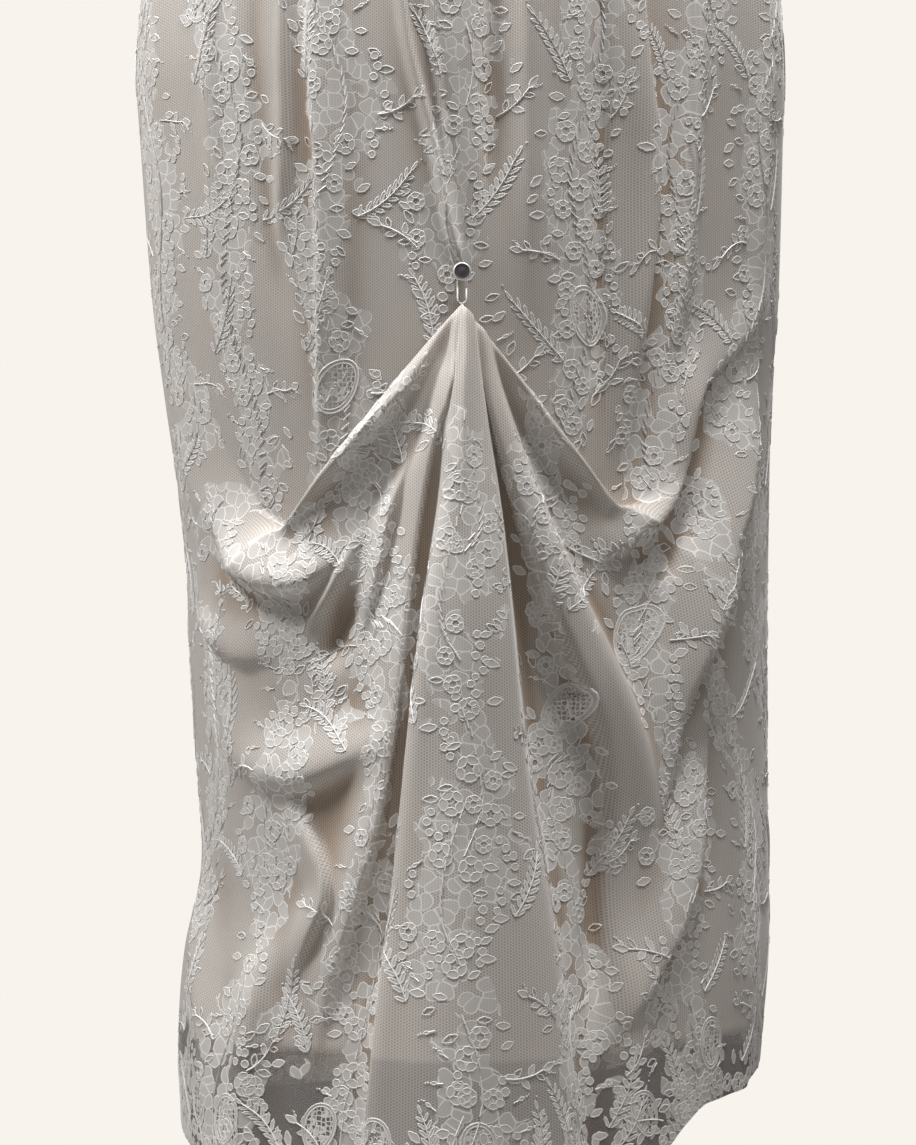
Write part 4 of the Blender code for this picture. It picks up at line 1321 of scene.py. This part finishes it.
@dataclass
class LaceDrawing:
    """The drawing of the lace: garlands that meander down the cloth, and a border along its foot."""

    width: float
    length: float
    garland: Garland = Garland()
    seed: int = 7
    border: bool = True

    def spots(self) -> list:
        """Every motif's place."""
        chance = np.random.default_rng(self.seed)
        count = int(self.width * MM / self.garland.spacing) + 2
        made: list[Spot] = []
        for k in range(-(count // 2) - 1, count // 2 + 2):
            made += self._garland(chance, k)
        if self.border:
            made += self._border(chance)
        return made

    def _garland(self, chance: np.random.Generator, number: int) -> list:
        """One garland, from the top of the cloth to its foot."""
        made = []

        def line(down: float) -> float:
            """Where the garland's middle lies."""
            return self.garland.middle(number, down * MM) / MM

        def add(kind: Kind, across: float, down: float, turn: float, size: float = 1.0) -> None:
            """Adds a motif."""
            made.append(Spot(kind, across, down, turn, size))

        down, k = 4.0, 0
        while down < self.length:
            part = (down * MM / self.garland.wave + self.garland.phase(number)) % 1
            centre = line(down)
            side = 1 if k % 2 else -1
            if 0.10 < part < 0.36:
                if part < 0.17 and k % 4 == 0:
                    add(Kind.RING, centre + 3 * side, down + 18, chance.uniform(-25, 25), 0.95)
                flank = Kind.CELLS if k % 2 else Kind.BLOSSOM
                add(flank, centre + side * chance.uniform(21, 26), down, -side * 80, 0.9)
            else:
                flower = Kind.FLOWER if chance.random() < 0.62 else Kind.BLOSSOM
                add(flower, centre + side * chance.uniform(4, 11), down, chance.uniform(0, 72),
                    chance.uniform(0.85, 1.08))
                filler = (Kind.LEAF, Kind.CELLS, Kind.OPEN_LEAF)[k % 3]
                add(filler, centre - side * chance.uniform(9, 15), down + 3, chance.uniform(40, 120) * side,
                    chance.uniform(0.8, 1))
            for edge in (-1, 1):
                roll = chance.random()
                reach = centre + edge * chance.uniform(21, 28)
                turn = -edge * chance.uniform(45, 115)
                if roll < 0.52:
                    kind, drop = (Kind.LEAF, 4) if roll < 0.34 else (Kind.OPEN_LEAF, 2)
                    add(kind, reach, down + drop, turn, chance.uniform(0.8, 1.1))
                elif roll < 0.72:
                    add(Kind.BUD, reach, down + 3, turn)
                elif roll < 0.86:
                    add(Kind.CELLS, reach - edge * 3, down, turn, 0.85)
            if k % 7 == 3:
                add(Kind.EAR, centre + side * 26, down + 20, -side * chance.uniform(12, 38))
            if k % 7 == 6:
                add(Kind.SPRIG, centre + side * 22, down + 6, -side * chance.uniform(35, 95))
            for at in (down, down + 6.2):
                slope = math.degrees(math.atan2(line(at) - line(at + 6), 6))
                add(Kind.STEM, line(at + 6), at + 6, -slope)
            down += chance.uniform(11.5, 14.5)
            k += 1
        return made

    def _border(self, chance: np.random.Generator) -> list:
        """The border along the foot of the cloth."""
        made = []

        def add(kind: Kind, across: float, up: float, turn: float, size: float) -> None:
            """Adds a motif above the foot."""
            made.append(Spot(kind, across, up, turn, size, True))

        across, k = -self.width / 2, 0
        while across < self.width / 2:
            up = 12 + 6 * math.sin(2 * math.pi * across / 96)
            flower = Kind.FLOWER if k % 2 else Kind.BLOSSOM
            add(flower, across, up, chance.uniform(0, 72), chance.uniform(0.85, 1.05))
            add(Kind.LEAF, across + 6, up + 10, chance.uniform(-70, 70), 1.0)
            add(Kind.CELLS, across + 3, 8, 180, 0.8)
            add(Kind.LEAF, across + 9, 9, 180 + chance.uniform(-30, 30), 0.7)
            if k % 5 == 2:
                add(Kind.RING, across, 40, chance.uniform(-20, 20), 0.8)
            if k % 5 == 0:
                add(Kind.EAR, across, 20, chance.uniform(-50, 50), 0.95)
            across += chance.uniform(12, 15)
            k += 1
        return made


# Overlapping motifs lie in so many layers, the first and each next one so many millimetres higher
LAYERS = 7
FIRST_LAYER = 0.10
NEXT_LAYER = 0.03

# A laid motif may be squeezed and drawn out to these shares of its own size
LEAST_FORM = 0.55
MOST_FORM = 1.5


@dataclass
class LaceWork:
    """Lays the motifs of a drawing on a sheet of cloth."""

    finishes: list
    shop: MotifShop = field(default_factory=MotifShop)

    def __post_init__(self) -> None:
        """Works the motifs once in each fineness."""
        self.fine, self.plain = self.shop.work(True), self.shop.work(False)

    def frames(self, grid: ClothGrid, row: np.ndarray, column: np.ndarray) -> np.ndarray:
        """Steps of the grid for a metre across and a metre up the cloth, at each place."""
        half = 0.5
        dcol = grid.sample(grid.points, row, column + half) - grid.sample(grid.points, row, column - half)
        drow = grid.sample(grid.points, row + half, column) - grid.sample(grid.points, row - half, column)
        normal = grid.sample(grid.normals, row, column)
        e1 = dcol / np.maximum(np.linalg.norm(dcol, axis=-1, keepdims=True), 1e-9)
        e2 = np.cross(normal, e1)
        e2 /= np.maximum(np.linalg.norm(e2, axis=-1, keepdims=True), 1e-9)
        a, b = (dcol * e1).sum(-1), (drow * e1).sum(-1)
        c, d = (dcol * e2).sum(-1), (drow * e2).sum(-1)
        det = a * d - b * c
        det = np.where(np.abs(det) < 1e-9, 1e-9, det)
        return np.stack([np.stack([d, -b], -1), np.stack([-c, a], -1)], -2) / det[:, None, None]

    @staticmethod
    def keeps_form(flat: np.ndarray, laid: np.ndarray, size: np.ndarray) -> np.ndarray:
        """Tells which laid motifs are neither squeezed nor drawn out where the cloth's rows converge.

        Args:
            flat: the motif's corners before it is laid, in metres.
            laid: the corners of every laid copy.
            size: how much each copy is scaled.

        Returns:
            True for each copy that keeps about its own form.
        """
        was = np.linalg.norm(flat - flat.mean(axis=0), axis=-1)
        outer = was > 0.5 * was.max()
        now = np.linalg.norm(laid - laid.mean(axis=1, keepdims=True), axis=-1) / size[:, None]
        ratio = now[:, outer] / was[outer]
        return (ratio.min(axis=1) > LEAST_FORM) & (ratio.max(axis=1) < MOST_FORM)

    @staticmethod
    def places(grid: ClothGrid, spots: list, allowed: Callable) -> dict:
        """Row, column, turn, size and order of each motif that may lie on the cloth, listed by kind."""
        rows, columns = grid.points.shape[:2]
        placed: dict = {}
        for number, spot in enumerate(spots):
            row, column = grid.locate(spot.across * MM, spot.down * MM, spot.from_foot)
            if 1 < row < rows - 2 and 1 < column < columns - 2 and allowed(row, column):
                placed.setdefault(spot.kind, []).append((row, column, spot.turn, spot.size, number % LAYERS))
        return placed

    def copies(self, grid: ClothGrid, shape: Shape, places: list, base: float) -> np.ndarray:
        """Lays a shape at its places.

        Args:
            grid: the cloth.
            shape: the motif.
            places: row, column, turn, size and order of each copy.
            base: how far the cloth's face lies off its grid, in metres.

        Returns:
            The corners of each copy that lies wholly on the cloth and keeps its form.
        """
        rows, columns = grid.points.shape[:2]
        row, column, turn, size, order = np.array(places).T
        basis = self.frames(grid, row, column)
        c, s = np.cos(np.radians(turn)) * size, np.sin(np.radians(turn)) * size
        flat = shape.corners[:, :2]
        x = flat[:, 0] * c[:, None] - flat[:, 1] * s[:, None]
        y = flat[:, 0] * s[:, None] + flat[:, 1] * c[:, None]
        k = column[:, None] + (basis[:, None, 0, 0] * x + basis[:, None, 0, 1] * y)
        r = row[:, None] + (basis[:, None, 1, 0] * x + basis[:, None, 1, 1] * y)
        whole = ((r > -0.8) & (r < rows - 0.2) & (k > -0.8) & (k < columns - 0.2)).all(axis=1)
        if grid.kept is not None:
            at = np.clip(r.astype(int), 0, rows - 2), np.clip(k.astype(int), 0, columns - 2)
            whole &= grid.kept[at].all(axis=1)
        r, k = r[whole], k[whole]
        if not len(r):
            return np.empty((0, *shape.corners.shape))
        lift = base + shape.corners[None, :, 2] + (FIRST_LAYER + NEXT_LAYER * order[whole, None]) * MM
        made = grid.sample(grid.points, r, k) + grid.sample(grid.normals, r, k) * lift[..., None]
        return made[self.keeps_form(flat, made, size[whole])]

    def lay(self, name: str, grid: ClothGrid, spots: list, fine: bool, allowed: Callable,
            base: float = 0.0) -> bpy.types.Object:
        """Lays motifs on the cloth as one joined piece.

        Args:
            name: the piece's name.
            grid: the cloth.
            spots: the motifs' places.
            fine: whether to use the finer shapes.
            allowed: tells from a row and a column whether a motif may lie there.
            base: how far the cloth's face lies off its grid, in metres.

        Returns:
            The piece.
        """
        corners, faces, parts, count = [], [], [], 0
        for kind, places in self.places(grid, spots, allowed).items():
            shape = (self.fine if fine else self.plain)[kind]
            for item in self.copies(grid, shape, places, base):
                corners.append(item)
                faces += [tuple(v + count for v in face) for face in shape.faces]
                parts += shape.parts
                count += len(item)
        mesh = bpy.data.meshes.new(name)
        mesh.from_pydata(np.vstack(corners).tolist(), [], faces)
        mesh.polygons.foreach_set("material_index", np.array(parts, np.int32))
        for finish in self.finishes:
            mesh.materials.append(finish)
        mesh.shade_flat()
        mesh.update()
        LOG.info("%s: %d triangles", name, sum(len(face) - 2 for face in faces))
        return declare(hang(name, mesh), "lace")


# Fastenings

@dataclass
class BustleButton:
    """The small round metal button on its shank, turned from its profile."""

    steps: int = 48

    # Radius and distance off the cloth, in millimetres
    PROFILE = ((0, 0), (2.4, 0), (2.5, 0.3), (1.9, 0.9), (1.8, 3.5), (4.8, 3.6), (5.6, 3.9), (5.95, 4.4),
               (6.0, 5.0), (5.9, 5.7), (5.55, 6.25), (5.1, 6.45), (4.7, 6.35), (4.4, 6.15), (2.5, 6.5), (0, 6.65))

    def dress(self) -> bpy.types.Object:
        """Builds the button in the place of its node."""
        low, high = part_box("bustle_button")
        seat = Vector(((low[0] + high[0]) / 2, high[1], (low[2] + high[2]) / 2))
        finish = MetalFinish(tuple(seat)).material()
        shape = bmesh.new()
        corners = [shape.verts.new((radius * MM, 0, out * MM)) for radius, out in self.PROFILE]
        edges = [shape.edges.new(pair) for pair in zip(corners[:-1], corners[1:])]
        bmesh.ops.spin(shape, geom=corners + edges, cent=(0, 0, 0), axis=(0, 0, 1), angle=math.tau,
                       steps=self.steps, use_merge=True, use_duplicate=False)
        bmesh.ops.remove_doubles(shape, verts=shape.verts, dist=1e-6)
        bmesh.ops.recalc_face_normals(shape, faces=shape.faces)
        turn = Matrix.Translation(seat) @ Euler((math.radians(90), 0, 0)).to_matrix().to_4x4()
        bmesh.ops.transform(shape, matrix=turn, verts=shape.verts)
        mesh = mesh_of(shape, "bustle_button_cap")
        mesh.materials.append(finish)
        mesh.shade_smooth()
        return declare(hang("bustle_button_cap", mesh), "button_metal", "bustle_button")


# The studio

@dataclass(frozen=True)
class Lamp:
    """A soft square lamp, with its size in metres and its power in watts."""

    name: str
    place: tuple
    aim: tuple
    size: float
    power: float
    colour: tuple


@dataclass
class Studio:
    """A plain cream studio with soft light from above, and the photograph's camera."""

    cream: tuple = (0.939, 0.896, 0.838)
    # Painted shade: the near-black colour that the studio shows where it is seen through net.
    through_net_shade: tuple = (0.045, 0.042, 0.042)
    floor_height: float = -1.62
    distance: float = 1.70
    centre: tuple = (-0.0026, -0.155, -1.074)
    half_view: float = 0.3722
    sensor: float = 36.0
    world_light: float = 0.05

    LAMPS = (
        Lamp("key", (-1.50, -0.34, 0.80), (0.0, -0.1, -1.05), 0.45, 49.0, (1.0, 0.992, 0.98)),
        Lamp("top", (0.25, -0.68, 1.90), (0.0, -0.1, -1.05), 0.5, 84.0, (1.0, 0.99, 0.98)),
        Lamp("right", (0.70, -0.60, 0.55), (0.05, -0.1, -0.90), 0.45, 7.0, (1.0, 0.98, 0.96)),
        Lamp("far side", (-0.8, 2.6, 0.9), (0.0, 0.0, -0.8), 1.6, 30.0, (1.0, 0.99, 0.98)),
    )

    def build(self) -> None:
        """Builds the world, the floor, the lights and the camera."""
        self._world()
        self._floor()
        for lamp in self.LAMPS:
            self._light(lamp)
        self._camera()

    def _world(self) -> None:
        """Cream where the camera sees it directly, a painted shade where it is seen through net, and a weak even light
        elsewhere.
        """
        world = bpy.data.worlds.new("studio")
        bpy.context.scene.world = world
        world.use_nodes = True
        tree = world.node_tree
        lit = tree.nodes["Background"]
        lit.inputs["Color"].default_value = (0.93, 0.92, 0.91, 1)
        lit.inputs["Strength"].default_value = self.world_light
        self._by_ray(tree, "ShaderNodeBackground", lit, tree.nodes["World Output"])

    def _by_ray(self, tree: bpy.types.NodeTree, kind: str, lit: bpy.types.Node, end: bpy.types.Node) -> None:
        """Shows the studio as plain cream, and as painted shade, a near-black colour, where it is seen through net.

        Args:
            tree: the node tree.
            kind: the type of the shaders that are shown.
            lit: the shader that lights the dress.
            end: the output.
        """
        path = tree.nodes.new("ShaderNodeLightPath")
        plain, through_net_shade = tree.nodes.new(kind), tree.nodes.new(kind)
        plain.inputs["Color"].default_value = (*self.cream, 1)
        through_net_shade.inputs["Color"].default_value = (*self.through_net_shade, 1)
        through, seen = tree.nodes.new("ShaderNodeMixShader"), tree.nodes.new("ShaderNodeMixShader")
        tree.links.new(path.outputs["Transparent Depth"], through.inputs[0])
        tree.links.new(plain.outputs[0], through.inputs[1])
        tree.links.new(through_net_shade.outputs[0], through.inputs[2])
        tree.links.new(path.outputs["Is Camera Ray"], seen.inputs[0])
        tree.links.new(lit.outputs[0], seen.inputs[1])
        tree.links.new(through.outputs[0], seen.inputs[2])
        tree.links.new(seen.outputs[0], end.inputs["Surface"])

    def _floor(self) -> None:
        """A plain pale floor below the hem."""
        shape = bmesh.new()
        bmesh.ops.create_circle(shape, cap_ends=True, segments=64, radius=9.0)
        bmesh.ops.translate(shape, verts=shape.verts, vec=(0, 0, self.floor_height))
        mesh = mesh_of(shape, "studio_floor")
        pale = bpy.data.materials.new("studio_floor")
        pale.use_nodes = True
        tree = pale.node_tree
        lit = tree.nodes["Principled BSDF"]
        lit.inputs["Base Color"].default_value = (0.35, 0.34, 0.33, 1)
        self._by_ray(tree, "ShaderNodeEmission", lit, tree.nodes["Material Output"])
        mesh.materials.append(pale)
        hang("studio_floor", mesh)

    @staticmethod
    def _light(lamp: Lamp) -> None:
        """Puts up a lamp and turns it to its aim."""
        data = bpy.data.lights.new(lamp.name, "AREA")
        data.shape, data.size, data.energy, data.color = "SQUARE", lamp.size, lamp.power, lamp.colour
        made = hang(lamp.name, data)
        made.location = lamp.place
        made.rotation_euler = (Vector(lamp.aim) - Vector(lamp.place)).to_track_quat("-Z", "Y").to_euler()

    def _camera(self) -> None:
        """The photograph's camera, level and straight behind the dress."""
        data = bpy.data.cameras.new("camera")
        data.sensor_width = self.sensor
        data.lens = self.sensor / 2 / (self.half_view / self.distance)
        camera = hang("camera", data)
        camera.location = (self.centre[0], self.centre[1] - self.distance, self.centre[2])
        camera.rotation_euler = (math.radians(90), 0, 0)
        bpy.context.scene.camera = camera


# Layers of the back skirt that are hidden, and the plain net under the pick-up point
HIDDEN_LAYERS = (0.2, 0.8)
GATHERS_DROP = 25 * MM
GATHERS_REACH = 46 * MM


def paint(node: bpy.types.Object, finish: bpy.types.Material) -> None:
    """Gives one of the frame's own solids a finish."""
    node.data.materials.clear()
    node.data.materials.append(finish)


def dress_skirt(figure: Figure, work: LaceWork) -> None:
    """Builds the skirt's net and lining, and the lace on its net."""
    net = NetFinish().material()
    satin = SatinFinish("lining_satin", (0.50, 0.405, 0.32), seams=(-0.235, -0.02, 0.105, 0.25)).material()
    back_skirt = BackSkirt(figure, "skirt_back", "back_skirt_net", "lace", (1.0, 1.57), "gathered", ("lining_back",))
    back = back_skirt.dress(net)
    layer = back_skirt.layer
    front = FrontSkirt(figure, "skirt_front", "front_skirt_net", "lace", (0.66, 1.05)).dress(net)
    for node, first, side in (("lining_back", -90, -1), ("lining_front", 90, 1)):
        lining = Lining(figure, node, f"{node}_satin", "lining", (0.66, 1.01), wall=0.8 * MM, first=first, side=side)
        lining.dress(satin)

    def between(low: float, high: float) -> Callable:
        """Chooses the part of the back skirt whose layer lies between two values."""
        return lambda row, column: low <= layer[int(row), int(column)] < high

    def clear_of_gathers(row: float, column: float) -> bool:
        """Chooses the train, but for its plain net just under the pick-up point."""
        place = Vector(back.points[int(row), int(column)])
        top = Vector((0, place.y, back_skirt.pick_up - GATHERS_DROP))
        return layer[int(row), int(column)] >= HIDDEN_LAYERS[1] and (place - top).length > GATHERS_REACH

    drawing = LaceDrawing(width=700, length=1560).spots()
    front_drawing = LaceDrawing(width=700, length=1060, seed=11).spots()
    work.lay("lace_upper_back", back, drawing, True, between(-1, HIDDEN_LAYERS[0]))
    work.lay("lace_hidden_back", back, drawing, False, between(*HIDDEN_LAYERS))
    work.lay("lace_train", back, drawing, True, clear_of_gathers)
    work.lay("lace_front", front, front_drawing, False, lambda row, column: True)


def dress_bodice(figure: Figure, work: LaceWork, ivory: bpy.types.Material) -> None:
    """Builds the bodice's panels and their lace."""
    for node, width, sides in (("bodice_front", 0.56, (-1, 1)), ("bodice_back_left", 0.27, (-1,)),
                               ("bodice_back_right", 0.27, (1,))):
        bodice = BodicePanel(figure, node, f"{node}_cloth", "lace", (width, 0.46), wall=1.0 * MM, sides=sides)
        panel = bodice.dress(ivory)
        spots = LaceDrawing(width=320 * len(sides), length=480, seed=len(node), border=False).spots()
        work.lay(f"lace_{node}", panel, spots, False,
                 lambda row, column, kept=panel.kept: bool(kept[int(row), int(column)]), bodice.wall / 2)


def main() -> None:
    """Builds the dress piece by piece in its studio."""
    logging.basicConfig(level=logging.INFO, format="%(name)s %(message)s")
    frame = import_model()
    bpy.context.scene.view_settings.view_transform = "Standard"
    Studio().build()
    figure = Figure()
    filling = WorkedFinish("lace_clothwork", (0.735, 0.705, 0.67), 8 * MM, 0.84, 0.75).material()
    cord = WorkedFinish("lace_cord", (0.93, 0.91, 0.89), 12 * MM, 0.82, 0.5).material()
    work = LaceWork([filling, cord, CoarseNetFinish().material()])
    ivory = SatinFinish("bodice_satin", (0.72, 0.665, 0.61), 0.5).material()
    dress_skirt(figure, work)
    dress_bodice(figure, work, ivory)
    BustleButton().dress()
    thread = ThreadFinish().material()
    for name, node in frame["nodes"].items():
        if name.startswith("closure_button"):
            paint(node, ivory)
        if name == "bustle_loop":
            paint(node, thread)


if __name__ == "__main__":
    main()
